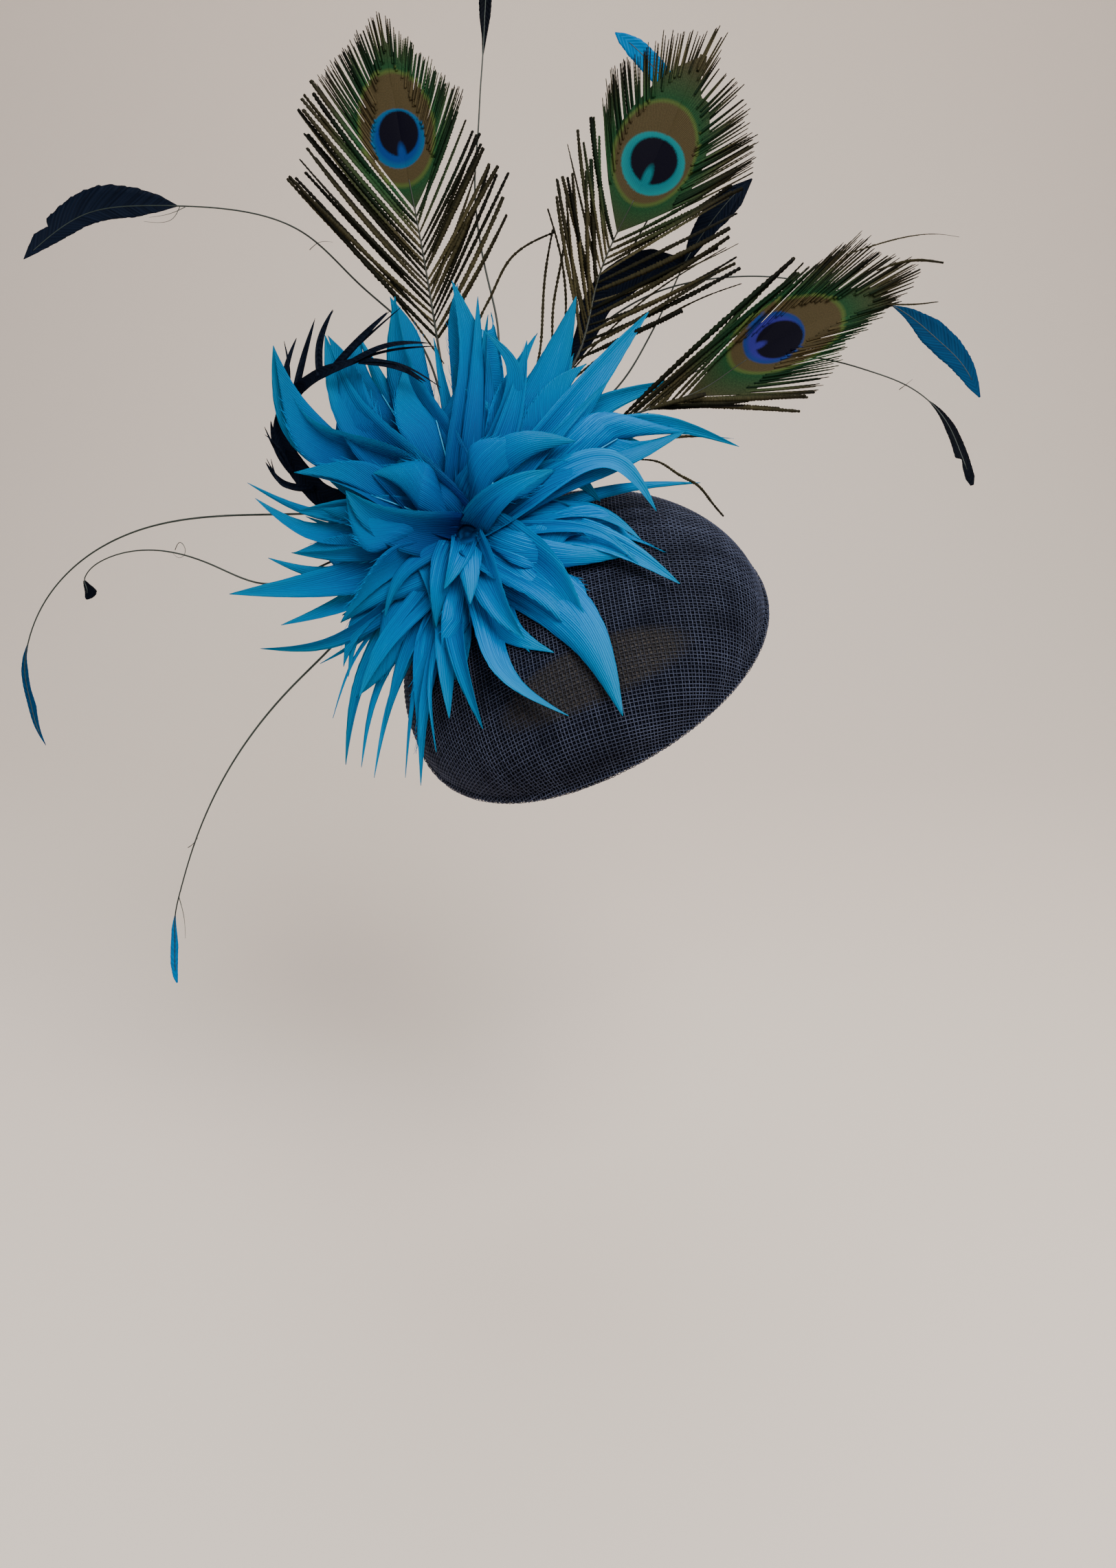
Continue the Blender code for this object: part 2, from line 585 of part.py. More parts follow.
def add_quilled(name, plan, frame, parent, material):
    """Add a stripped feather: one strip that is a round quill and then a flat blade."""
    start = stem_root(frame, plan["angle"], plan["height"])
    route = on_elevation(plan["route"])
    stations = np.concatenate([start, route])
    lengths = np.linalg.norm(np.diff(stations, axis=0), axis=1)
    travel = np.concatenate([[0.0], np.cumsum(lengths)])
    blade = travel[len(start) + plan["blade"]] / travel[-1]
    points = smooth_route(stations, QUILL_SECTIONS)
    along = np.linspace(0.0, 1.0, QUILL_SECTIONS)
    quill = np.linspace(QUILL_ROOT_WIDTH, QUILL_TIP_WIDTH, QUILL_SECTIONS)
    inside = np.clip((along - blade) / (1.0 - blade), 0.0, 1.0)
    spots = np.linspace(0.0, 1.0, len(plan["widths"]))
    widths = np.where(along < blade, quill, np.interp(inside, spots, plan["widths"]))
    depths = np.where(along < blade, quill, BLADE_THICKNESS)
    return add_strip(name, points, widths, depths, parent, material)


def add_dark(name, plan, frame, parent, material):
    """Add a dark feather as one strip whose widths run from the stem to its tip."""
    start = stem_root(frame, plan["angle"], plan["height"])
    stations = np.concatenate([start, on_elevation(plan["route"])])
    points = smooth_route(stations, DARK_SECTIONS)
    spots = np.linspace(0.0, 1.0, len(plan["widths"]))
    widths = np.interp(np.linspace(0.0, 1.0, DARK_SECTIONS), spots, plan["widths"])
    return add_strip(name, points, widths, [DARK_THICKNESS] * DARK_SECTIONS, parent, material,
                     cup=DARK_CUP)


def build():
    """Build the whole part."""
    clear_scene()
    base_frame = bpy.data.objects.new("base_frame", None)
    base_frame.rotation_euler = Euler((0.0, math.radians(BASE_TILT), math.radians(BASE_AZIMUTH)))
    heart_frame = bpy.data.objects.new("heart_frame", None)
    heart_frame.location = Vector(HEART) * MM
    heart_frame.rotation_euler = Euler((math.radians(90.0 - VIEW_PITCH), 0.0, 0.0))
    for empty in (base_frame, heart_frame):
        bpy.context.scene.collection.objects.link(empty)
    bpy.context.view_layer.update()

    straw = make_material("navy_straw", NAVY_STRAW, 0.55)
    blue = make_material("blue_feather", BLUE_FEATHER, 0.45)
    teal = make_material("teal_feather", TEAL_FEATHER, 0.5)
    navy = make_material("navy_feather", NAVY_FEATHER, 0.5)
    peacock = make_material("peacock_feather", PEACOCK_GREEN, 0.5)
    black = make_material("comb_plastic", COMB_BLACK, 0.35)

    add_base(base_frame, straw)
    add_comb(base_frame, black)
    add_bloom(base_frame, heart_frame, blue)
    frame = stem_frame(base_frame.matrix_world, heart_frame.matrix_world)
    for name, plan in PEACOCKS.items():
        add_peacock(name, plan, frame, heart_frame, peacock)
    blue_ended = ("stripped_feather_3", "stripped_feather_5", "stripped_feather_7",
                  "stripped_feather_9")
    for name, plan in STRIPPED.items():
        add_quilled(name, plan, frame, heart_frame, teal if name in blue_ended else navy)
    spiked = add_dark("spiked_feather", SPIKED_BODY, frame, heart_frame, navy)
    spikes = []
    for number, rows in enumerate(SPIKES):
        points = smooth_route(on_elevation(rows), len(SPIKE_WIDTHS))
        spikes.append(add_strip(f"spike_{number}", points, SPIKE_WIDTHS,
                                [SPIKE_THICKNESS] * len(points), heart_frame))
    fuse(spiked, spikes)
    add_dark("dark_feather", DARK_FEATHER, frame, heart_frame, navy)


build()
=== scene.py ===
"""A feather fascinator as it is worn: a domed base of stiffened straw cloth, a bloom of curled
goose feathers, three peacock eye feathers, two dark feathers and nine stripped feathers.

Lengths in the tables are millimetres and angles are degrees. MM turns them into metres.
"""

import math

import bmesh
import bpy
import numpy as np
from mathutils import Euler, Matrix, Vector


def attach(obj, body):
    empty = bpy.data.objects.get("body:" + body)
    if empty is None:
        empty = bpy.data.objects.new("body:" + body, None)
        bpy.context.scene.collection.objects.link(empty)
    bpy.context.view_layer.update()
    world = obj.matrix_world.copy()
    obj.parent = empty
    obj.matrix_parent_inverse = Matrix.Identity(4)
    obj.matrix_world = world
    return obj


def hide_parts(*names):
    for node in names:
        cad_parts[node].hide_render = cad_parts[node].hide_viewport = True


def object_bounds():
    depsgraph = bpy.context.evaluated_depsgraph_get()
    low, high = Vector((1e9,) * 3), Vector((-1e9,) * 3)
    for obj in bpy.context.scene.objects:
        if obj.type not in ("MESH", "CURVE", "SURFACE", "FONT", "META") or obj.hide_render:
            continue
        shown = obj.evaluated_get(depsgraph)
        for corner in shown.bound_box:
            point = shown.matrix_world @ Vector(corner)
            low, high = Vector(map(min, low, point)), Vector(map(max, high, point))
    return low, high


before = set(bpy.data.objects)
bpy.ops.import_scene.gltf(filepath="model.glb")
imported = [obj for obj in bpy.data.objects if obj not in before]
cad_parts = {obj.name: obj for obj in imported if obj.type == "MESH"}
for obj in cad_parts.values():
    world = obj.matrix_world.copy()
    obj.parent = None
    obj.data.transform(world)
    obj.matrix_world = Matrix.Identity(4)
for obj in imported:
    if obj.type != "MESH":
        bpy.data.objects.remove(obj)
cad_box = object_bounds()

# The stage: a plain pale floor that sweeps up behind the piece, soft studio light from the
# upper right, and the camera at the height and angle of the photograph.
MM = 0.001
FLOOR_GAP = 0.16
SWEEP_START = 0.55
SWEEP_RADIUS = 0.75
SWEEP_FRONT = -2.5
SWEEP_TOP = 3.0
SWEEP_SIDE = 3.0
CAMERA_PLACE = (-0.0075, -0.4569, 0.12445)
CAMERA_PITCH = 68.0
CAMERA_LENS = 27.06
CAMERA_SENSOR = 36.0
CAMERA_NEAR = 0.01
AIR_COLOUR = (0.93, 0.95, 1.0, 1.0)
AIR_STRENGTH = 0.40


def lay_mesh(name, points, corners, sizes):
    """Return a smooth mesh from its points, and from the corners and the sizes of its faces."""
    mesh = bpy.data.meshes.new(name)
    mesh.vertices.add(len(points))
    mesh.vertices.foreach_set("co", points.ravel().astype(np.float32))
    mesh.loops.add(len(corners))
    mesh.loops.foreach_set("vertex_index", corners.astype(np.int32))
    mesh.polygons.add(len(sizes))
    starts = np.concatenate([[0], np.cumsum(sizes)[:-1]])
    mesh.polygons.foreach_set("loop_start", starts.astype(np.int32))
    mesh.polygons.foreach_set("use_smooth", np.full(len(sizes), True))
    mesh.update(calc_edges=True)
    return mesh


def mark_points(mesh, mark, values):
    """Give each point of a mesh its number under a name that a material reads."""
    attribute = mesh.attributes.new(mark, "FLOAT", "POINT")
    attribute.data.foreach_set("value", values.ravel().astype(np.float32))


def show_mesh(name, mesh, material):
    """Return a finished mesh as a piece of the scene, with its material."""
    mesh.validate()
    mesh.materials.append(material)
    piece = bpy.data.objects.new(name, mesh)
    bpy.context.scene.collection.objects.link(piece)
    return piece


def add_grid(name, grids, material, uvs=None, closed=False, marks=None):
    """Add one mesh from stacked grids of points [strip, row, column, xyz] in metres.

    Each cell of a grid is one four-sided face. A closed grid also joins its last column to
    its first and gets a cap on either end. uvs gives each point its place on the material,
    and marks holds one number for each point under each name.
    """
    grids = np.asarray(grids, dtype=float)
    count, rows, columns, _ = grids.shape
    index = np.arange(count * rows * columns).reshape(count, rows, columns)
    turned = np.concatenate([index, index[:, :, :1]], axis=2) if closed else index
    quads = np.stack([turned[:, :-1, :-1], turned[:, :-1, 1:], turned[:, 1:, 1:],
                      turned[:, 1:, :-1]], axis=-1).reshape(-1, 4)
    corners = [quads.ravel()]
    sizes = [np.full(len(quads), 4)]
    if closed:
        for cap in (index[:, 0, ::-1], index[:, -1, :]):
            corners.append(cap.ravel())
            sizes.append(np.full(count, columns))
    corners = np.concatenate(corners)
    mesh = lay_mesh(name, grids.reshape(-1, 3), corners, np.concatenate(sizes))
    if uvs is not None:
        layer = mesh.uv_layers.new(name="UVMap")
        flat = np.asarray(uvs, dtype=float).reshape(-1, 2)[corners]
        layer.data.foreach_set("uv", flat.ravel().astype(np.float32))
    for mark, values in (marks or {}).items():
        mark_points(mesh, mark, np.broadcast_to(values, grids.shape[:3]))
    return show_mesh(name, mesh, material)


def blank_material(name, roughness, **sockets):
    """Return a new material, its node tree and its Principled shader, with plain sockets set."""
    material = bpy.data.materials.new(name)
    material.use_nodes = True
    shader = material.node_tree.nodes["Principled BSDF"]
    shader.inputs["Roughness"].default_value = roughness
    for socket, value in sockets.items():
        shader.inputs[socket.replace("_", " ")].default_value = value
    return material, material.node_tree, shader


def wire(tree, kind, inputs=(), output=0, **settings):
    """Add a node, feed its inputs with values or sockets, and return one of its outputs."""
    item = tree.nodes.new("ShaderNode" + kind)
    for key, value in settings.items():
        setattr(item, key, value)
    pairs = inputs.items() if isinstance(inputs, dict) else enumerate(inputs)
    for key, value in pairs:
        if isinstance(value, bpy.types.NodeSocket):
            tree.links.new(value, item.inputs[key])
        elif value is not None:
            item.inputs[key].default_value = value
    return item.outputs[output]


def blend_colours(tree, share, first, second):
    """Return the mix of two colours, each a socket or a linear red, green, blue."""
    pair = [(*side, 1.0) if isinstance(side, tuple) else side for side in (first, second)]
    return wire(tree, "Mix", {0: share, 6: pair[0], 7: pair[1]}, output=2, data_type="RGBA")


def grained_material(name, roughness, scale, dark, light, detail=2.0, **sockets):
    """Return a material that drifts between two colours, and its tree, shader and noise."""
    material, tree, shader = blank_material(name, roughness, **sockets)
    grain = wire(tree, "TexNoise", {"Vector": wire(tree, "TexCoord", output=3), "Scale": scale,
                                    "Detail": detail})
    tree.links.new(blend_colours(tree, grain, dark, light), shader.inputs["Base Color"])
    return material, tree, shader, grain


floor_paint = grained_material("pale_floor", 0.8, 1.3, (0.80, 0.68, 0.575), (0.84, 0.735, 0.645),
                               detail=3.0)[0]
floor_height = cad_box[0][2] - FLOOR_GAP
sweep_turns = np.linspace(0.0, math.pi / 2.0, 24)
sweep_y = np.concatenate([[SWEEP_FRONT], SWEEP_START + SWEEP_RADIUS * np.sin(sweep_turns),
                          [SWEEP_START + SWEEP_RADIUS]])
sweep_z = np.concatenate([[0.0], SWEEP_RADIUS * (1.0 - np.cos(sweep_turns)),
                          [SWEEP_TOP]]) + floor_height
sweep_x = np.linspace(SWEEP_SIDE, -SWEEP_SIDE, 3)
sweep = np.stack(np.broadcast_arrays(sweep_x[None, :], sweep_y[:, None], sweep_z[:, None]), axis=-1)
add_grid("pale_floor", sweep[None], floor_paint)

camera = bpy.data.objects.new("front_camera", bpy.data.cameras.new("front_camera"))
camera.location = CAMERA_PLACE
camera.rotation_euler = (math.radians(CAMERA_PITCH), 0.0, 0.0)
camera.data.lens = CAMERA_LENS
camera.data.sensor_width = CAMERA_SENSOR
camera.data.clip_start = CAMERA_NEAR
bpy.context.scene.collection.objects.link(camera)
bpy.context.scene.camera = camera

# Columns: name, place, aim, size across, watts, colour
for name, place, aim, size, power, colour in (
        ("key_light", (0.42, -0.66, 1.00), (0.0, 0.0, 0.03), 0.75, 21.0, (1.0, 0.98, 0.95)),
        ("fill_light", (-0.9, -0.7, 0.45), (0.0, 0.0, 0.05), 1.0, 3.0, (0.95, 0.97, 1.0)),
        ("top_light", (0.1, 0.35, 1.1), (0.0, 0.0, 0.05), 0.8, 7.0, (1.0, 1.0, 1.0))):
    lamp = bpy.data.lights.new(name, "AREA")
    lamp.size = size
    lamp.energy = power
    lamp.color = colour
    holder = bpy.data.objects.new(name, lamp)
    holder.location = place
    holder.rotation_euler = (Vector(aim) - Vector(place)).to_track_quat("-Z", "Y").to_euler()
    bpy.context.scene.collection.objects.link(holder)
world = bpy.data.worlds.new("studio_air")
world.use_nodes = True
air = world.node_tree.nodes["Background"]
air.inputs["Color"].default_value = AIR_COLOUR
air.inputs["Strength"].default_value = AIR_STRENGTH
bpy.context.scene.world = world


# The base: two layers of open straw cloth, stiffened and pressed over a domed block, with the
# raw edge rolled under. The upper layer is modelled thread by thread, warp over weft, and the
# lower one as a dark closed cloth under it. The cloth keeps its lengths as it is pressed.
BASE_RADIUS = 75.0
BASE_HEIGHT = 36.0
BASE_FULLNESS = 2.4
BASE_TILT = 35.6
BASE_AZIMUTH = -129.0
RIM_DIP = 6.0
RIM_DIP_ANGLE = -33.8
RIM_ROLL = 1.3
RIM_SECTION = ((0.9, -0.7), (0.9, -2.0), (-0.4, -2.9), (-2.1, -2.6), (-2.6, -1.2))
CLOTH_THICKNESS = 1.2
CLOTH_DEPTH = 0.35
CLOTH_ROWS = 60
CLOTH_TURNS = 180
THREAD_PITCH = 1.45
THREAD_WIDTH = 0.38
THREAD_RISE = 0.34
THREAD_HEIGHT = 0.24
THREAD_SINK = 0.02
THREAD_STRAY = 0.12
THREAD_WANDER = 0.06
THREAD_SIDES = 3
WEAVE_TURN = 128.0
# Where the brown inside of the base shows through, as a leaning oval on the front elevation:
# its middle, and its long and short axes, each divided by its half length
PATCH_CENTRE = (0.0035, -0.0607, 0.0068)
PATCH_AXES = ((26.5, 1.2, 11.8), (-27.5, 61.0, 52.0))


def block_profile():
    """Return radius and height along the pressed cloth, and the length from its middle.

    The dome is a superellipse, (r / R) ** p + (z / H) ** p = 1, and the rim rolls under it.
    """
    steps = np.linspace(0.0, 1.0, 240) ** 1.2 * math.pi / 2.0
    power = 2.0 / BASE_FULLNESS
    radius = BASE_RADIUS * np.sin(steps) ** power
    height = BASE_HEIGHT * np.clip(np.cos(steps), 0.0, None) ** power
    out, down = np.array(RIM_SECTION).T * RIM_ROLL
    radius = np.concatenate([radius, BASE_RADIUS + out])
    height = np.concatenate([height, down])
    length = np.concatenate([[0.0], np.cumsum(np.hypot(np.diff(radius), np.diff(height)))])
    return radius, height, length


CLOTH_RADIUS, CLOTH_DROP, CLOTH_LENGTH = block_profile()
RIM_LENGTH = CLOTH_LENGTH[-len(RIM_SECTION) - 1]
BASE_TURN = np.array(Euler((0.0, math.radians(BASE_TILT), math.radians(BASE_AZIMUTH))).to_matrix())


def on_block(across, along):
    """Return where the cloth's own coordinates land on the block, in base millimetres.

    The distance from the cloth's middle stays the same measured over the dome, and so does
    the direction.
    """
    reach = np.hypot(across, along)
    turn = np.arctan2(along, across)
    radius = np.interp(reach, CLOTH_LENGTH, CLOTH_RADIUS)
    height = np.interp(reach, CLOTH_LENGTH, CLOTH_DROP)
    dip = RIM_DIP * np.cos(2.0 * (turn - math.radians(RIM_DIP_ANGLE)))
    height = height - dip * (radius / BASE_RADIUS) ** 2
    return np.stack([radius * np.cos(turn), radius * np.sin(turn), height], axis=-1)


def block_normal(across, along):
    """Return the cloth's outward direction, from points half a millimetre to either side."""
    step = 0.5
    over = on_block(across + step, along) - on_block(across - step, along)
    up = on_block(across, along + step) - on_block(across, along - step)
    normal = np.cross(over, up)
    return normal / np.linalg.norm(normal, axis=-1, keepdims=True)


def dome_height(across, along):
    """Return how high the pressed cloth lies over a place of the base's own plane, in mm."""
    radius = np.hypot(across, along)
    turn = np.arctan2(along, across) - math.radians(RIM_DIP_ANGLE)
    height = np.interp(radius, CLOTH_RADIUS[:-len(RIM_SECTION)], CLOTH_DROP[:-len(RIM_SECTION)])
    return height - RIM_DIP * np.cos(2.0 * turn) * (radius / BASE_RADIUS) ** 2


def base_to_world(points):
    """Turn base millimetres into the frame's metres."""
    return points @ BASE_TURN.T * MM


def times(tree, first, second):
    """Return the product of two numbers, each a socket or a plain value."""
    return wire(tree, "Math", (first, second), operation="MULTIPLY")


def weave_mask(tree, place, turn, pitch, sharpness):
    """Return how much of a plain weave's thread lies at a place: the larger of two combs."""
    turned = wire(tree, "Mapping", {0: place, 2: (0.0, 0.0, math.radians(turn))})
    across, along = [wire(tree, "SeparateXYZ", (turned,), output=side) for side in (0, 1)]
    combs = []
    for side in (across, along):
        ridge = wire(tree, "Math", (times(tree, side, 2.0 * math.pi / pitch),), operation="COSINE")
        ridge = wire(tree, "Math", (ridge, 0.5, 0.5), operation="MULTIPLY_ADD")
        combs.append(wire(tree, "Math", (ridge, sharpness), operation="POWER"))
    return wire(tree, "Math", combs, operation="MAXIMUM")


def patch_mask(tree):
    """Return how much of the brown inside shows: 1 within the patch's oval, 0 beyond its edge."""
    away = wire(tree, "VectorMath", (wire(tree, "TexCoord", output=3), PATCH_CENTRE),
                operation="SUBTRACT")
    sides = wire(tree, "CombineXYZ", [
        wire(tree, "VectorMath", (away, axis), output=1, operation="DOT_PRODUCT")
        for axis in PATCH_AXES])
    reach = wire(tree, "VectorMath", (sides,), output=1, operation="LENGTH")
    return wire(tree, "MapRange", {0: reach, 1: 0.85, 2: 1.12, 3: 1.0, 4: 0.0})


cloth_paint, cloth_tree, cloth_shader = blank_material("straw_cloth", 0.75, Specular_IOR_Level=0.03)
cloth_place = wire(cloth_tree, "UVMap")
cloth_weave = weave_mask(cloth_tree, cloth_place, 31.0, THREAD_PITCH / 100.0, 1.6)
cloth_cloud = wire(cloth_tree, "TexNoise", {"Vector": cloth_place, "Scale": 9.0, "Detail": 3.0})
cloth_dark = blend_colours(cloth_tree, cloth_cloud, (0.0008, 0.0011, 0.0026),
                           (0.0026, 0.0028, 0.0042))
cloth_colour = blend_colours(cloth_tree, cloth_weave, cloth_dark, (0.0045, 0.0058, 0.0120))
cloth_lining = blend_colours(cloth_tree, cloth_weave, (0.060, 0.052, 0.046), (0.016, 0.015, 0.016))
cloth_outer = wire(cloth_tree, "Attribute", output=2, attribute_name="outer")
cloth_patch = times(cloth_tree, patch_mask(cloth_tree), cloth_outer)
cloth_colour = blend_colours(cloth_tree, cloth_patch, cloth_colour, cloth_lining)
cloth_tree.links.new(cloth_colour, cloth_shader.inputs["Base Color"])
cloth_bump = wire(cloth_tree, "Bump", {"Strength": 0.6, "Distance": 0.0004, "Height": cloth_weave})
cloth_tree.links.new(cloth_bump, cloth_shader.inputs["Normal"])

cloth_rings = np.concatenate([np.linspace(0.0, 1.0, CLOTH_ROWS) * RIM_LENGTH,
                              CLOTH_LENGTH[-len(RIM_SECTION):]])
cloth_turns = np.linspace(0.0, 2.0 * math.pi, CLOTH_TURNS + 1)
cloth_across = cloth_rings[:, None] * np.cos(cloth_turns)
cloth_along = cloth_rings[:, None] * np.sin(cloth_turns)
outer_skin = (on_block(cloth_across, cloth_along)
              - CLOTH_DEPTH * block_normal(cloth_across + 1e-4, cloth_along))
inner_rings = cloth_rings[CLOTH_ROWS - 1::-1] * (1.0 - 1.5 / RIM_LENGTH)
inner_across = inner_rings[:, None] * np.cos(cloth_turns)
inner_along = inner_rings[:, None] * np.sin(cloth_turns)
inner_skin = (on_block(inner_across, inner_along)
              - (CLOTH_DEPTH + CLOTH_THICKNESS) * block_normal(inner_across + 1e-4, inner_along))
base_skin = base_to_world(np.concatenate([outer_skin, inner_skin]))
base_uvs = np.stack([np.concatenate([cloth_across, inner_across]),
                     np.concatenate([cloth_along, inner_along])], axis=-1) / 100.0
is_outer = np.repeat([1.0, 0.0], [len(outer_skin), len(inner_skin)])[None, :, None]
base_cloth = add_grid("base_cloth", base_skin[None], cloth_paint, base_uvs[None],
                      marks={"outer": is_outer})
skin = bmesh.new()
skin.from_mesh(base_cloth.data)
bmesh.ops.remove_doubles(skin, verts=skin.verts, dist=0.00002)
bmesh.ops.recalc_face_normals(skin, faces=skin.faces)
skin.to_mesh(base_cloth.data)
skin.free()
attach(base_cloth, "root")
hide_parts("base_shell")

thread_paint, thread_tree, thread_shader = blank_material("straw_thread", 0.45,
                                                          Specular_IOR_Level=0.12)
thread_cloud = wire(thread_tree, "TexNoise", {"Vector": wire(thread_tree, "TexCoord", output=3),
                                              "Scale": 60.0, "Detail": 4.0})
thread_own = wire(thread_tree, "Attribute", output=2, attribute_name="shade")
thread_share = times(thread_tree, thread_cloud, thread_own)
thread_colour = blend_colours(thread_tree, thread_share, (0.003, 0.004, 0.010),
                              (0.094, 0.110, 0.178))
thread_patch = times(thread_tree, patch_mask(thread_tree), 0.75)
thread_colour = blend_colours(thread_tree, thread_patch, thread_colour, (0.030, 0.028, 0.029))
thread_tree.links.new(thread_colour, thread_shader.inputs["Base Color"])


def lay_threads(turn, phase, seed):
    """Return one family of parallel threads as rings, and the shade of each point.

    A thread's height over the cloth is THREAD_RISE / 2 * cos(pi * run / THREAD_PITCH), a half
    turn for each thread that it crosses, and its neighbour's is half a turn later.
    """
    draw = np.random.default_rng(seed)
    reach = CLOTH_LENGTH[-3]
    offsets = np.arange(-reach + 1.0, reach - 1.0, THREAD_PITCH)
    offsets = offsets + draw.uniform(-THREAD_STRAY, THREAD_STRAY, len(offsets))
    half = np.sqrt(np.clip(reach ** 2 - offsets ** 2, 1.0, None))
    strips, shades = [], []
    step = THREAD_PITCH / 2.0
    for number, (offset, extent) in enumerate(zip(offsets, half)):
        run = np.arange(-extent, extent + 0.01, step)
        rise = np.cos(math.pi * (run / THREAD_PITCH + number + phase)) * THREAD_RISE / 2.0
        wander = offset + THREAD_WANDER * np.sin(run * 0.11 + draw.uniform(0.0, 6.3))
        across = run * math.cos(turn) - wander * math.sin(turn)
        along = run * math.sin(turn) + wander * math.cos(turn)
        middle = on_block(across, along)
        normal = block_normal(across, along)
        forward = np.gradient(middle, axis=0)
        forward /= np.linalg.norm(forward, axis=1)[:, None]
        side = np.cross(normal, forward)
        floor = middle + normal * (rise[:, None] - THREAD_SINK)
        crown = floor + normal * THREAD_HEIGHT
        ring = np.stack([floor - side * THREAD_WIDTH / 2.0, floor + side * THREAD_WIDTH / 2.0,
                         crown], axis=1)
        strips.append(base_to_world(ring))
        shades.append(np.full(len(run) * THREAD_SIDES, draw.uniform(0.55, 1.25)))
    return strips, shades


def join_strips(name, strips, shades, material):
    """Add strips of unequal length as one mesh of closed tubes, with a cap on either end."""
    points = np.concatenate([strip.reshape(-1, 3) for strip in strips])
    quads, caps = [], []
    first = 0
    for strip in strips:
        index = first + np.arange(len(strip) * THREAD_SIDES).reshape(-1, THREAD_SIDES)
        turned = np.concatenate([index, index[:, :1]], axis=1)
        quads.append(np.stack([turned[:-1, :-1], turned[:-1, 1:], turned[1:, 1:], turned[1:, :-1]],
                              axis=-1).reshape(-1, 4))
        caps += [index[0, ::-1], index[-1]]
        first += index.size
    quads = np.concatenate(quads)
    caps = np.stack(caps)
    corners = np.concatenate([quads.ravel(), caps.ravel()])
    sizes = np.concatenate([np.full(len(quads), 4), np.full(len(caps), THREAD_SIDES)])
    mesh = lay_mesh(name, points, corners, sizes)
    mark_points(mesh, "shade", np.concatenate(shades))
    return show_mesh(name, mesh, material)


for name, turn, phase, seed in (("weft_threads", WEAVE_TURN, 0.0, 11),
                                ("warp_threads", WEAVE_TURN + 90.0, 1.0, 12)):
    strips, shades = lay_threads(math.radians(turn), phase, seed)
    threads = join_strips(name, strips, shades, thread_paint)
    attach(threads, "root")
    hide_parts("base_shell")


# The comb: one moulded strip of black plastic with teeth, sewn inside the base where it
# points to the crown. It keeps its solid and gets the satin skin of a moulding.
comb_paint, comb_tree, comb_shader, comb_grain = grained_material(
    "comb_plastic", 0.32, 900.0, (0.010, 0.010, 0.012), (0.022, 0.022, 0.025))
comb_tree.links.new(wire(comb_tree, "Bump", {"Strength": 0.12, "Distance": 0.0002,
                                             "Height": comb_grain}), comb_shader.inputs["Normal"])
comb_tree.links.new(wire(comb_tree, "MapRange", {0: comb_grain, 3: 0.26, 4: 0.42}),
                    comb_shader.inputs["Roughness"])
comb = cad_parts["hair_comb"]
comb.data.materials.clear()
comb.data.materials.append(comb_paint)


# The bloom: goose feathers, stripped of their down, dyed bright blue, cut at the shaft and
# curled into horns. They are bound with wire into a round heart on a short wrapped stem,
# which is sewn to the top of the base.
HEART = (-42.5, 1.5, 43.2)
VIEW_PITCH = 22.0
SIGHT = (35.0, -96.4, 455.5)
HEART_RADIUS = 7.5
HORN_START = 4.0
STEM_RADIUS = 9.0
STEM_SHOULDER = 4.5
ROOT_GAP = 0.3
ROOT_STUB = 5.0
HORN_ROWS = 48
HORN_COLUMNS = 7
HORN_FULLNESS = 1.18
VANE_THICKNESS = 0.28
BARB_THICKNESS = 0.16
TUBE_SIDES = 6
REST_GAP = 0.9

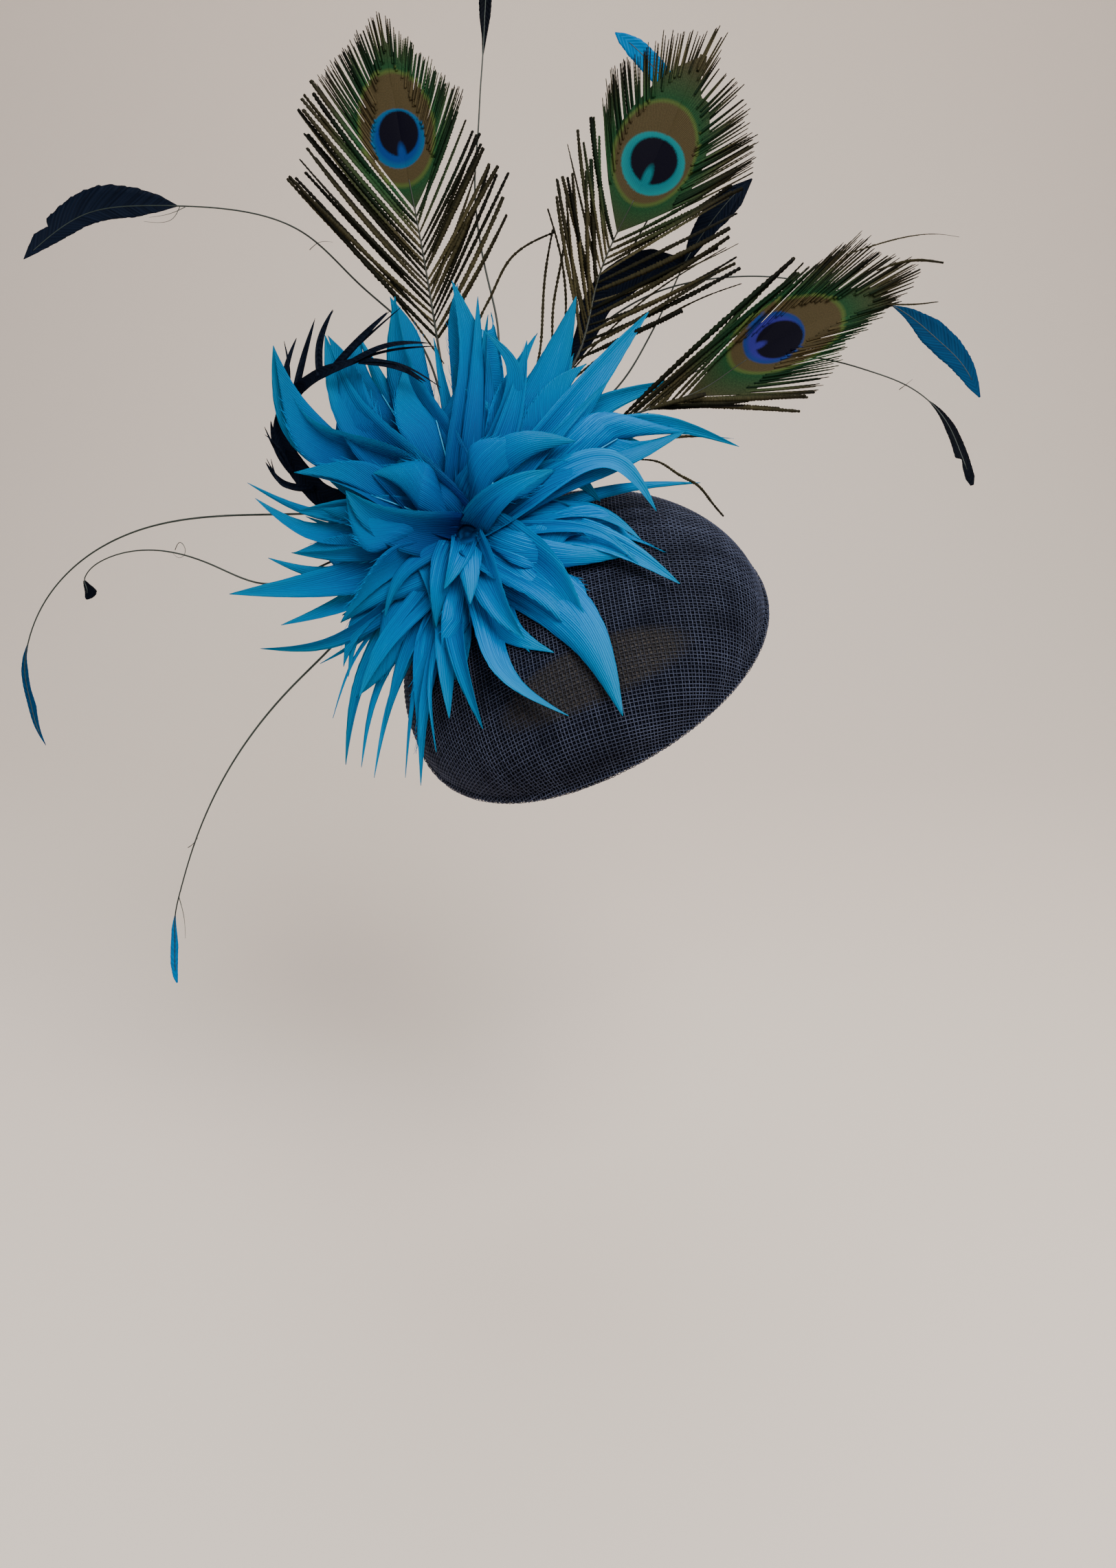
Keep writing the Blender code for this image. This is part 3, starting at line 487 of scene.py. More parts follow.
# Columns: right and up of two points on a horn's middle line and of its tip, its greatest width,
# and how far the second point, the third and the tip stand toward the viewer.
HORNS = (
    # upper left
    (-30, 25, -63, 40, -75, 73, 18, 2, -2, -5),
    (-23, 23, -45, 47, -55, 77, 17, 5, 1, -4),
    (-14, 26, -30, 52, -42, 77, 10, -3, -4, -6),
    (-10, 32, -25, 63, -28, 92, 18, 2, -2, 2),
    (-3, 26, -8, 52, -13, 76, 6, -3, -4, -5),
    # top
    (1, 33, 2, 68, -6, 98, 16, 5, 2, -3),
    (2, 31, 4, 62, 4, 92, 8, 8, 6, 0),
    (3, 28, 6, 57, 8, 85, 8, 3, 3, 4),
    (12, 35, 17, 66, 6, 79, 10, 6, 10, 12),
    (11, 26, 19, 52, 23, 75, 9, 9, 9, 4),
    (17, 29, 31, 60, 42, 92, 20, 3, 0, -2),
    # upper right
    (25, 28, 47, 57, 70, 86, 14, 4, 2, -3),
    (18, 20, 37, 41, 55, 60, 5, 10, 10, 6),
    (24, 28, 54, 51, 83, 60, 12, -3, -10, -12),
    (32, 24, 68, 43, 105, 34, 11, 4, 4, 10),
    (29, 19, 58, 29, 86, 41, 12, 8, 10, 5),
    (27, 15, 56, 27, 73, 9, 14, 6, 12, 8),
    (30, 10, 60, 18, 90, 20, 5, 3, 2, -4),
    (6, 22, 22, 35, 42, 36, 14, 12, 18, 14),
    (9, 12, 20, 20, 33, 25, 10, 18, 24, 24),
    # right, over the base
    (24, 7, 50, 8, 67, -2, 10, 6, 8, 18),
    (28, 1, 57, -5, 82, -19, 13, 3, 19, 36),
    (24, 2, 49, 1, 66, -11, 5, 10, 16, 28),
    (21, -6, 42, -8, 62, -8, 11, 14, 19, 24),
    (26, -19, 48, -42, 60, -70, 20, 19, 46, 56),
    (6, -13, 13, -28, 22, -40, 12, 12, 21, 33),
    (8, -27, 16, -54, 39, -70, 13, 11, 36, 53),
    (-3, -25, -1, -50, 6, -75, 10, 4, 21, 36),
    (-5, -24, -8, -47, -7, -71, 11, -1, 13, 23),
    # the short ones in front of the heart
    (0, -9, 1, -18, 1, -27, 9, 14, 19, 21),
    (-3, -7, -6, -14, -9, -21, 8, 12, 17, 18),
    (-6, -9, -10, -23, -12, -36, 12, 10, 14, 10),
    # lower left
    (-14, -6, -26, -16, -32, -32, 6, 12, 14, 10),
    (-14, -21, -31, -41, -42, -63, 9, 7, 8, 6),
    (-10, -17, -21, -36, -33, -52, 9, 3, 3, 2),
    (-17, -14, -33, -22, -49, -34, 12, 10, 10, 6),
    (-20, -15, -40, -32, -46, -55, 6, 2, 2, 2),
    (-21, -27, -39, -55, -47, -89, 11, 2, 0, -3),
    (-22, -22, -43, -46, -52, -71, 3, 0, -2, -4),
    (-18, -30, -35, -60, -41, -90, 4, -2, -4, -6),
    (-15, -32, -29, -63, -36, -94, 4, 1, 1, 0),
    (-14, -25, -25, -50, -32, -75, 8, 4, 5, 4),
    (-13, -30, -21, -62, -24, -94, 3, 1, 4, 2),
    (-9, -32, -17, -65, -18, -97, 4, 1, 10, 6),
    (-7, -28, -14, -56, -12, -84, 3, 1, 12, 18),
    # left
    (-31, -13, -62, -20, -92, -23, 13, 4, 3, 0),
    (-22, -3, -45, -7, -68, -7, 8, 8, 9, 8),
    (-27, -9, -55, -15, -77, -9, 8, -1, -2, -3),
    (-30, 4, -62, 9, -85, 20, 5, -1, -3, -6),
    (-28, 2, -58, 0, -82, 14, 13, 1, 0, -4),
    (-23, 9, -46, 20, -67, 24, 11, 7, 6, 2),
    (-18, 1, -36, 7, -47, 17, 15, 12, 14, 12),
    (-7, 9, -16, 19, -28, 31, 14, 8, 9, 5),
    (-22, 6, -45, 9, -66, 9, 14, 3, 3, 1),
    (-24, -14, -50, -28, -72, -35, 11, 1, 0, -2),
    (-28, -25, -54, -41, -80, -44, 8, 5, 4, 1),
    (-24, -24, -43, -42, -57, -50, 4, -2, -4, -5),
)

view_sine, view_cosine = math.sin(math.radians(VIEW_PITCH)), math.cos(math.radians(VIEW_PITCH))
VIEW_AXES = np.array([[1.0, 0.0, 0.0], [0.0, view_sine, view_cosine],
                      [0.0, -view_cosine, view_sine]])
FRONT = np.array([0.0, 0.0, 1.0])


def heart_to_world(points):
    """Turn right, up, toward from the bloom's heart, in millimetres, into the frame's metres."""
    return (np.asarray(points) @ VIEW_AXES + np.array(HEART)) * MM


def above_base(points, gap):
    """Lift heart-frame points that would sink into the base, straight out of it, to gap over it."""
    base = (points @ VIEW_AXES + np.array(HEART)) @ BASE_TURN
    inside = np.hypot(base[..., 0], base[..., 1]) < BASE_RADIUS + gap
    over = np.where(inside, dome_height(base[..., 0], base[..., 1]) + gap, -1000.0)
    base[..., 2] = np.maximum(base[..., 2], over)
    return (base @ BASE_TURN.T - np.array(HEART)) @ VIEW_AXES.T


def on_elevation(rows):
    """Move rows of right, up, toward along their lines of sight, which end at SIGHT."""
    rows = np.asarray(rows, dtype=float)
    share = rows[..., 2:3] / SIGHT[2]
    return rows * np.array([1.0, 1.0, 0.0]) * (1.0 - share) + np.array(SIGHT) * share


def travelled(points):
    """Return how far along a route each of its points lies, measured from point to point."""
    return np.concatenate([[0.0], np.cumsum(np.linalg.norm(np.diff(points, axis=0), axis=1))])


def smooth_route(stations, count):
    """Return points evenly along a natural cubic spline through the stations."""
    stations = np.asarray(stations, dtype=float)
    knots = travelled(stations)
    span = np.diff(knots)
    size = len(knots)
    matrix = np.eye(size)
    right = np.zeros_like(stations)
    slope = np.diff(stations, axis=0) / span[:, None]
    for row in range(1, size - 1):
        matrix[row, row - 1] = span[row - 1]
        matrix[row, row] = 2.0 * (span[row - 1] + span[row])
        matrix[row, row + 1] = span[row]
        right[row] = 6.0 * (slope[row] - slope[row - 1])
    bend = np.linalg.solve(matrix, right)
    where = np.linspace(0.0, knots[-1], count)
    part = np.clip(np.searchsorted(knots, where, side="right") - 1, 0, size - 2)
    step = span[part][:, None]
    before = (where - knots[part])[:, None]
    after = step - before
    curve = (bend[part] * after ** 3 + bend[part + 1] * before ** 3) / (6.0 * step)
    curve += (stations[part] / step - bend[part] * step / 6.0) * after
    return curve + (stations[part + 1] / step - bend[part + 1] * step / 6.0) * before


def cross_frames(points, facing):
    """Return the side and face directions along routes [..., row, xyz] that look to facing."""
    along = np.gradient(points, axis=-2)
    along /= np.linalg.norm(along, axis=-1, keepdims=True)
    side = np.cross(along, facing)
    side /= np.linalg.norm(side, axis=-1, keepdims=True)
    return side, np.cross(side, along)


def turn_frames(side, face, angle):
    """Return side and face directions turned round their route by an angle in radians."""
    sine, cosine = np.sin(angle), np.cos(angle)
    return side * cosine + face * sine, face * cosine - side * sine


def vane_rings(points, half, cup, roll=0.0, thickness=VANE_THICKNESS, facing=FRONT):
    """Return a thin closed vane as rings round its route, and its places on the material.

    At share t of the half width, from -1 to 1, a point lies t * half to the side and
    cup * half * t ** 2 to the face. roll turns the section round the route, in radians.
    half holds the left and right half widths [row, 2].
    """
    roll = np.broadcast_to(roll, len(points))[:, None]
    side, face = turn_frames(*cross_frames(points, facing), roll)
    share = np.linspace(-1.0, 1.0, HORN_COLUMNS)
    reach = np.where(share < 0.0, half[:, :1], half[:, 1:]) * share
    bow = cup * np.abs(reach) * np.abs(share)
    sheet = points[:, None] + side[:, None] * reach[..., None] + face[:, None] * bow[..., None]
    deep = thickness / 2.0 * (1.0 - 0.7 * np.abs(share))[None, :, None] * face[:, None]
    rings = np.concatenate([sheet + deep, (sheet - deep)[:, ::-1]], axis=1)
    places = np.stack(np.broadcast_arrays(reach, travelled(points)[:, None]), axis=-1) / 100.0
    return rings, np.concatenate([places, places[:, ::-1]], axis=1)


def tube_rings(points, radius):
    """Return a six-sided tube as rings round its route; radius may change along it."""
    side, face = [direction[..., None, :] for direction in cross_frames(points, FRONT)]
    turns = np.linspace(0.0, 2.0 * math.pi, TUBE_SIDES, endpoint=False)[:, None]
    radius = np.broadcast_to(radius, points.shape[:-1])[..., None, None]
    return points[..., None, :] + radius * (side * np.cos(turns) + face * np.sin(turns))


def ribbon_rings(points, widths, tilt):
    """Return flat ribbons of diamond section round routes [barb, row, xyz]."""
    side, face = turn_frames(*cross_frames(points, FRONT), np.asarray(tilt)[..., None])
    half = side * (np.asarray(widths)[..., None] / 2.0)
    deep = face * BARB_THICKNESS / 2.0
    return np.stack([points - half, points + deep, points + half, points - deep], axis=-2)


def open_group(name, inputs, outputs):
    """Return a new node group and its two end nodes, from its inputs' kinds and outputs' names."""
    group = bpy.data.node_groups.new(name, "ShaderNodeTree")
    for socket, kind in inputs.items():
        group.interface.new_socket(name=socket, in_out="INPUT", socket_type="NodeSocket" + kind)
    for socket in outputs:
        group.interface.new_socket(name=socket, in_out="OUTPUT", socket_type="NodeSocketFloat")
    return group, group.nodes.new("NodeGroupInput"), group.nodes.new("NodeGroupOutput")


def make_barb_lines():
    """Build the node group that draws a vane's barbs: fine lines, and soft streaks along them.

    The lines run where across * Lines + along * Slant stays the same.
    """
    group, start, end = open_group(
        "barb_lines", {"Place": "Vector", "Lines": "Float", "Slant": "Float"}, ("Line", "Streak"))
    across, along = [wire(group, "SeparateXYZ", (start.outputs["Place"],), output=side)
                     for side in (0, 1)]
    across = wire(group, "Math", (across,), operation="ABSOLUTE")
    first = times(group, across, start.outputs["Lines"])
    second = times(group, along, start.outputs["Slant"])
    phase = wire(group, "Math", (first, second), operation="ADD")
    drift = wire(group, "CombineXYZ", (phase, times(group, along, 9.0), 0.0))
    streak = wire(group, "TexNoise", {"Vector": drift, "Scale": 0.22, "Detail": 4.0,
                                      "Roughness": 0.6})
    line = wire(group, "Math", (phase, times(group, streak, 5.0)), operation="ADD")
    line = wire(group, "Math", (line,), operation="SINE")
    line = wire(group, "Math", (line, 0.5, 0.5), operation="MULTIPLY_ADD")
    group.links.new(line, end.inputs["Line"])
    group.links.new(streak, end.inputs["Streak"])
    return group


BARB_LINES = make_barb_lines()


def line_colour(tree, shader, colour, lined):
    """Paint a shader with a colour that is darker in the gaps between its barbs."""
    tree.links.new(wire(tree, "Mix", {0: 1.0, 6: colour, 7: lined}, output=2, data_type="RGBA",
                        blend_type="MULTIPLY"), shader.inputs["Base Color"])


def vane_material(name, root_colour, main_colour, pale_colour, lines, slant, roughness=0.55,
                  relief=0.4, gloss=0.03, scatter=0.0, tip_colour=None):
    """Return a dyed vane's material: darker at the root, paler along streaks, with barb lines.

    The darker root is painted shade for the hollows round the bloom's heart. A vane of shade s
    takes 0.72 + 0.44 * s of the dye's brightness; on the bloom that mark is partly random dye
    depth and partly painted light, paler toward the lower right. Where the dye has another tone
    at the tips it takes on that tone over its last half.
    """
    material, tree, shader = blank_material(name, roughness, Specular_IOR_Level=gloss,
                                            Subsurface_Weight=scatter, Subsurface_Scale=0.004)
    shader.inputs["Subsurface Radius"].default_value = (0.05, 0.6, 1.0)
    place = wire(tree, "UVMap")
    barbs = tree.nodes.new("ShaderNodeGroup")
    barbs.node_tree = BARB_LINES
    barbs.inputs["Lines"].default_value = lines
    barbs.inputs["Slant"].default_value = slant
    tree.links.new(place, barbs.inputs["Place"])
    reach = wire(tree, "Attribute", output=2, attribute_name="reach")
    shade = wire(tree, "Attribute", output=2, attribute_name="shade")
    # Painted shade: the vane darkens toward its root, for the hollows round the bloom's heart.
    lit = wire(tree, "MapRange", {0: reach, 1: 0.06, 2: 0.72})
    colour = blend_colours(tree, lit, root_colour, main_colour)
    pale = wire(tree, "MapRange", {0: barbs.outputs["Streak"], 1: 0.34, 2: 0.66})
    # Pale streaks, scaled by the shade mark, which on the bloom is partly painted light.
    colour = blend_colours(tree, times(tree, pale, shade), colour, pale_colour)
    if tip_colour:
        tip = wire(tree, "MapRange", {0: reach, 1: 0.50, 2: 1.0, 3: 0.0, 4: 0.85})
        colour = blend_colours(tree, tip, colour, tip_colour)
    lined = wire(tree, "MapRange", {0: barbs.outputs["Line"], 3: 0.82, 4: 1.06})
    # Painted light on the bloom: the shade mark darkens or brightens whole vanes, lighter toward
    # the lower right, beside a random dye depth.
    depth = wire(tree, "MapRange", {0: shade, 3: 0.72, 4: 1.16})
    line_colour(tree, shader, colour, times(tree, lined, depth))
    tree.links.new(wire(tree, "Bump", {"Strength": relief, "Distance": 0.0003,
                                       "Height": barbs.outputs["Line"]}), shader.inputs["Normal"])
    return material


# The dark root colour is painted shade for the bloom's hollows, and the shade mark adds painted
# light from the lower right.
goose_blue = vane_material("goose_blue", (0.0, 0.010, 0.10), (0.0, 0.120, 0.39), (0.0, 0.235, 0.60),
                           900.0, 60.0, relief=0.5, gloss=0.05, scatter=0.10,
                           tip_colour=(0.0, 0.150, 0.290))


def rest_rings(rings):
    """Lay closed vanes [strip, row, ring, xyz] on the base where they would sink into it."""
    half = rings.shape[2] // 2
    back = above_base(rings[:, :, half:], REST_GAP)
    front = above_base(rings[:, :, :half], REST_GAP + VANE_THICKNESS)
    return np.concatenate([front, back], axis=2)


def paleness_and_painted_light(direction, draw):
    """Return how pale a vane is, 0 to 1, partly dye depth and partly painted light.

    The vanes that point to the lower right come out paler, as painted light from that side, and
    each vane also gets a random spread of dye depth.
    """
    lean = (0.75 * direction[0] - 0.60 * direction[1]) / (np.linalg.norm(direction[:2]) + 1e-9)
    return float(np.clip(0.48 + 0.42 * lean + draw.uniform(-0.22, 0.22), 0.04, 1.0))


def horn_half_widths(width, draw):
    """Return a horn's left and right half widths: broad low down, then drawn out to a point.

    At share s of the length it is (s + 0.12) ** 0.35 * (1 - s) ** 0.95 of the full width, less a
    saw of barb tips that grows toward the point.
    """
    share = np.linspace(0.0, 1.0, HORN_ROWS)
    shape = (share + 0.12) ** 0.35 * (1.0 - share) ** 0.95 / 0.54
    half = np.stack([shape, shape], axis=1) * width / 2.0 + 0.12
    for column in range(2):
        teeth = (share * draw.uniform(7.0, 12.0) + draw.uniform(0.0, 1.0)) % 1.0
        depth = draw.uniform(0.0, 0.05) * np.clip(share * 2.0 - 0.3, 0.0, 1.0)
        fray = draw.uniform(-0.015, 0.015, HORN_ROWS)
        half[:, column] *= 1.0 - depth * teeth + fray
    return half


def curl_horns(name, rows, seed, shrink=1.0, turn=0.0, back=0.0):
    """Add curled horns from the heart out, one for each row of the table."""
    draw = np.random.default_rng(seed)
    rings, places, reach, shade = [], [], [], []
    for x1, z1, x2, z2, x3, z3, width, near1, near2, near3 in rows:
        lead = HORN_START / math.hypot(x1, z1)
        stations = np.array([(lead * x1, lead * z1, np.clip(0.35 * near1, -2.0, 4.0)),
                             (x1, z1, near1), (x2, z2, near2), (x3, z3, near3)], dtype=float)
        stations[1:] *= shrink
        stations[1:, 2] += back
        cosine, sine = math.cos(turn), math.sin(turn)
        stations[:, :2] = stations[:, :2] @ np.array([[cosine, sine], [-sine, cosine]])
        points = smooth_route(on_elevation(stations), HORN_ROWS)
        share = np.linspace(0.0, 1.0, HORN_ROWS)
        roll = draw.uniform(-0.5, 0.5) + draw.uniform(-0.6, 0.6) * share
        cup = draw.uniform(0.25, 0.75) * (1.0 if draw.uniform() < 0.72 else -0.7)
        outward = points[-1] - points[0]
        facing = FRONT - 0.3 * outward / np.linalg.norm(outward)
        half = horn_half_widths(width * HORN_FULLNESS, draw)
        ring, place = vane_rings(points, half, cup, roll, facing=facing)
        rings.append(ring)
        places.append(place + draw.uniform(0.0, 3.0) * np.array([0.0, 1.0]))
        reach.append(np.broadcast_to(share[:, None], ring.shape[:2]))
        # The shade mark is painted light, paler for horns that point to the lower right, plus a
        # random dye depth.
        shade.append(np.full(ring.shape[:2], paleness_and_painted_light(outward, draw)))
    piece = add_grid(name, heart_to_world(rest_rings(np.stack(rings))), goose_blue,
                     np.stack(places), closed=True,
                     marks={"reach": np.stack(reach), "shade": np.stack(shade)})
    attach(piece, "root")
    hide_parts("feather_flower")


curl_horns("goose_horns", HORNS, 21)
curl_horns("goose_under_horns", HORNS[::2], 22, shrink=0.72, turn=0.12, back=-3.0)

# The broad feathers on top. Each is cut through its shaft half way out, and the vane on either
# side of the cut goes on as a pointed horn, so that the two meet in a V.
# Columns: right, up and toward of the cut; right and up of one side's widest point and of its
# tip; the same of the other side; toward of both tips.
CUT_FEATHERS = (
    (-51, 40, 1, -64, 31, -75, 73, -35, 47, -54, 77, -3),
    (-33, 54, -5, -48, 57, -41, 77, -15, 62, -30, 92, -9),
    (6, 79, -7, -7, 70, -4, 97, 14, 58, 9, 86, -9),
    (37, 45, -1, 26, 52, 46, 66, 46, 35, 70, 47, -2),
    (58, 37, 5, 47, 46, 103, 37, 47, 24, 80, 39, 3),
    (58, -2, 7, 49, 11, 82, -19, 43, -13, 67, -10, 7),
    (-37, 15, 8, -36, 27, -67, 24, -39, 5, -57, 10, 6),
    (-50, -14, 4, -36, 0, -67, -7, -36, -20, -92, -23, 0),
    (-33, -30, 5, -43, -28, -48, -51, -20, -37, -43, -63, 2),
    (-8, -39, 5, -19, -38, -18, -96, 3, -34, 5, -70, 5),
    (1, -34, 9, -9, -28, -7, -62, 9, -27, 11, -48, 9),
    (17, -28, 10, 41, -18, 60, -69, 7, -24, 37, -68, 9),
    (-20, -11, 12, -27, -5, -49, -34, -7, -19, -13, -36, 10),
    (36, -5, 12, 26, 4, 46, 0, 20, -13, 61, -9, 10),
    (10, 20, 14, 1, 32, 42, 36, 13, 11, 34, 25, 10),
    (-19, 9, 13, -38, -7, -47, 17, -15, 27, -38, 24, 10),
    (-12, 44, 3, -27, 42, -24, 66, 3, 46, -1, 70, 0),
    (22, 52, 0, 10, 50, 27, 78, 33, 42, 41, 70, -2),
)
SHAFT_SHARE = 0.55
CUT_COLUMNS = 9
RIB_ROWS = 40
RIB_START = 14
RIB_RADIUS = 0.32
FRINGE_ROWS = 8
FRINGE_BARBS = 9


def edge_frame(sheet):
    """Return the outward direction of a sheet of points [row, column, xyz], toward the front."""
    face = np.cross(np.gradient(sheet, axis=0), np.gradient(sheet, axis=1) + 1e-6)
    face /= np.linalg.norm(face, axis=-1, keepdims=True) + 1e-9
    return face * np.where(face[..., 2:] < 0.0, -1.0, 1.0)


def half_vane(start, cut, widest, tip, left, draw):
    """Return one side of a cut feather as closed rings, with its places and outer edge.

    The inner edge follows the shaft to the cut and then bends out to the tip. The outer edge is
    a smooth curve through the widest point. A point at share v of the way across stands off the
    straight line between them by bow * width * 4 v (1 - v) + lift * width * v ** 2.
    """
    before = int(HORN_ROWS * SHAFT_SHARE)
    shaft = smooth_route([start, (start + cut) / 2.0 + 2.5 * FRONT, cut], before)
    away = widest - cut
    lean = (tip - cut) * 0.45 + away * 0.16 + FRONT
    horn = smooth_route([cut, cut + lean, tip], HORN_ROWS - before + 1)[1:]
    inner = np.concatenate([shaft, horn])
    low = start + (widest - start) * 0.5 + (widest - (start + cut) / 2.0) * 0.12
    past = widest + (tip - widest) * 0.5 + away * draw.uniform(0.10, 0.22)
    outer = smooth_route([start + away * 0.06, low, widest, past, tip], HORN_ROWS)
    share = np.linspace(0.0, 1.0, CUT_COLUMNS)
    across = outer - inner
    width = np.linalg.norm(across, axis=1)
    bow, lift = draw.uniform(-0.12, 0.20), draw.uniform(-0.25, 0.40)
    sheet = inner[:, None] + across[:, None] * share[:, None]
    sheet[..., 2] += width[:, None] * (bow * 4.0 * share * (1.0 - share) + lift * share ** 2)
    places = np.stack(np.broadcast_arrays(
        width[:, None] * share, -3.0 * travelled(inner)[:, None]), axis=-1) / 100.0
    edge = sheet[:, -1].copy()
    if left:
        sheet, places = sheet[:, ::-1], places[:, ::-1]
    back = sheet - edge_frame(sheet) * VANE_THICKNESS
    rings = np.concatenate([sheet, back[:, ::-1]], axis=1)
    return rings, np.concatenate([places, places[:, ::-1]], axis=1), edge


cut_draw = np.random.default_rng(24)
vane_rows, vane_places, cut_shade, rib_rows, fringe_rows = [], [], [], [], []
for xc, zc, nc, xa, za, xta, zta, xb, zb, xtb, ztb, nt in CUT_FEATHERS:
    start = np.array([xc, zc, 0.0]) * HORN_START / math.hypot(xc, zc) + 0.3 * nc * FRONT
    cut, side_a, tip_a, side_b, tip_b = on_elevation([
        (xc, zc, nc), (xa, za, nc + 1.0), (xta, zta, nt), (xb, zb, nc - 1.0), (xtb, ztb, nt - 1.5)])
    for widest, tip in ((side_a, tip_a), (side_b, tip_b)):
        left = cut[0] * widest[1] - cut[1] * widest[0] > 0.0
        rings, places, edge = half_vane(start, cut, widest, tip, left, cut_draw)
        vane_rows.append(rings)
        # The shade mark is painted light, paler for cut feathers that point to the lower right,
        # plus a random dye depth.
        cut_shade.append(paleness_and_painted_light(tip, cut_draw))
        vane_places.append(places + cut_draw.uniform(0.0, 3.0) * np.array([0.0, 1.0]))
        outward = (widest - cut) / np.linalg.norm(widest - cut)
        for row in cut_draw.integers(int(HORN_ROWS * 0.45), HORN_ROWS - 8, FRINGE_BARBS):
            forward = edge[row + 5] - edge[row]
            forward /= np.linalg.norm(forward)
            reach = cut_draw.uniform(3.0, 9.0)
            splay = cut_draw.uniform(0.8, 2.4)
            fringe_rows.append(smooth_route([edge[row] - outward * 0.6,
                                             edge[row] + forward * reach * 0.5 + outward * 0.5,
                                             edge[row] + forward * reach + outward * splay],
                                            FRINGE_ROWS))
    rib = smooth_route([start, (start + cut) / 2.0 + 2.9 * FRONT, cut + 0.3 * FRONT], RIB_ROWS)
    rib_rows.append(rib[RIB_START:])
cut_reach = np.linspace(0.0, 1.0, HORN_ROWS)[None, :, None]
cut_shade = np.array(cut_shade)[:, None, None]
cut_feathers = add_grid("goose_cut_feathers", heart_to_world(rest_rings(np.stack(vane_rows))),
                        goose_blue, np.stack(vane_places), closed=True,
                        marks={"reach": cut_reach, "shade": cut_shade})
rib_paint = grained_material("goose_shaft", 0.4, 150.0, (0.0, 0.14, 0.42), (0.03, 0.42, 0.66),
                             Specular_IOR_Level=0.3)[0]
ribs = add_grid("goose_ribs", heart_to_world(tube_rings(np.stack(rib_rows), RIB_RADIUS)), rib_paint,
                closed=True)
fringe_points = above_base(np.stack(fringe_rows), 1.2)
fringe_widths = np.broadcast_to(np.linspace(0.30, 0.08, FRINGE_ROWS), fringe_points.shape[:2])
fringe_rings = ribbon_rings(fringe_points, fringe_widths, 0.0)
fringe = add_grid("goose_fringe", heart_to_world(fringe_rings), goose_blue, closed=True,
                  marks={"reach": 0.6, "shade": 0.8})
for piece in (cut_feathers, ribs, fringe):
    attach(piece, "root")
    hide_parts("feather_flower")

# The wrapped stem, whose foot is sewn into the cloth, and the round heart on top of it that the
# feathers are bound into. The wrapping shows as fine rings round both.
WRAP_GROOVE = 0.25
STEM_SKIN = STEM_RADIUS - 0.3
FOOT_SINK = 0.8
BOUND_RADIUS = 6.6
BOUND_HEIGHT = 3.2
BOUND_BACK = -2.8
wrap_paint, wrap_tree, wrap_shader = blank_material("wrapped_stem", 0.6, Specular_IOR_Level=0.1)
wrap_lines = wire(wrap_tree, "TexWave", {"Vector": wire(wrap_tree, "UVMap"), "Scale": 14.0,
                                         "Distortion": 1.5, "Detail": 2.0},
                  output=1, bands_direction="Y")
wrap_tree.links.new(blend_colours(wrap_tree, wrap_lines, (0.0008, 0.03, 0.12), (0.002, 0.09, 0.30)),
                    wrap_shader.inputs["Base Color"])
wrap_tree.links.new(wire(wrap_tree, "Bump", {"Strength": 0.5, "Distance": 0.0005,
                                             "Height": wrap_lines}), wrap_shader.inputs["Normal"])
heart_in_base = np.array(HEART) @ BASE_TURN
stem_turns = np.linspace(0.0, 2.0 * math.pi, 25)[:-1]
stem_share = np.linspace(0.0, 1.0, 40)
stem_radius = (STEM_SKIN + WRAP_GROOVE * np.cos(stem_share * 60.0))[:, None]
stem_across = heart_in_base[0] + stem_radius * np.cos(stem_turns)
stem_along = heart_in_base[1] + stem_radius * np.sin(stem_turns)
foot_height = dome_height(stem_across, stem_along) - FOOT_SINK
shoulder_height = heart_in_base[2] - STEM_SHOULDER
stem_height = foot_height + (shoulder_height - foot_height) * stem_share[:, None]
stem_rings = np.stack([stem_across, stem_along, stem_height], axis=-1)
dome_share = np.linspace(0.0, 0.97, 12) * math.pi / 2.0
dome_radius = STEM_SKIN * np.cos(dome_share)
dome_top = shoulder_height + (HEART_RADIUS + STEM_SHOULDER) * 0.4 * np.sin(dome_share)
dome_rings = np.stack(np.broadcast_arrays(
    heart_in_base[0] + dome_radius[:, None] * np.cos(stem_turns),
    heart_in_base[1] + dome_radius[:, None] * np.sin(stem_turns), dome_top[:, None]), axis=-1)
stem_grid = np.concatenate([stem_rings, dome_rings[1:]])
stem_uvs = np.stack(np.broadcast_arrays(
    stem_turns * 0.1, np.linspace(0.0, 0.3, len(stem_grid))[:, None]), axis=-1)
stem = add_grid("wrapped_stem", base_to_world(stem_grid)[None], wrap_paint, stem_uvs[None],
                closed=True)
heart_share = np.linspace(-0.97, 0.97, 17)[:, None] * math.pi / 2.0
heart_width = BOUND_RADIUS * np.cos(heart_share)
heart_rings = np.stack(np.broadcast_arrays(
    heart_width * np.cos(stem_turns), heart_width * np.sin(stem_turns),
    BOUND_BACK + BOUND_HEIGHT * np.sin(heart_share)), axis=-1)
heart_uvs = np.stack(np.broadcast_arrays(stem_turns * 0.1, heart_share * 0.05), axis=-1)
bound_heart = add_grid("bound_heart", heart_to_world(heart_rings)[None], wrap_paint,
                       heart_uvs[None], closed=True)
for piece in (stem, bound_heart):
    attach(piece, "root")
    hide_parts("feather_flower")


# The peacock feathers: three tail feathers with their lower barbs left loose. The barbs are
# flat ribbons, fringed with barbules, that leave the shaft on both sides in one plane. Round
# the eye they lie close, and each takes its colours from where it crosses the eye.

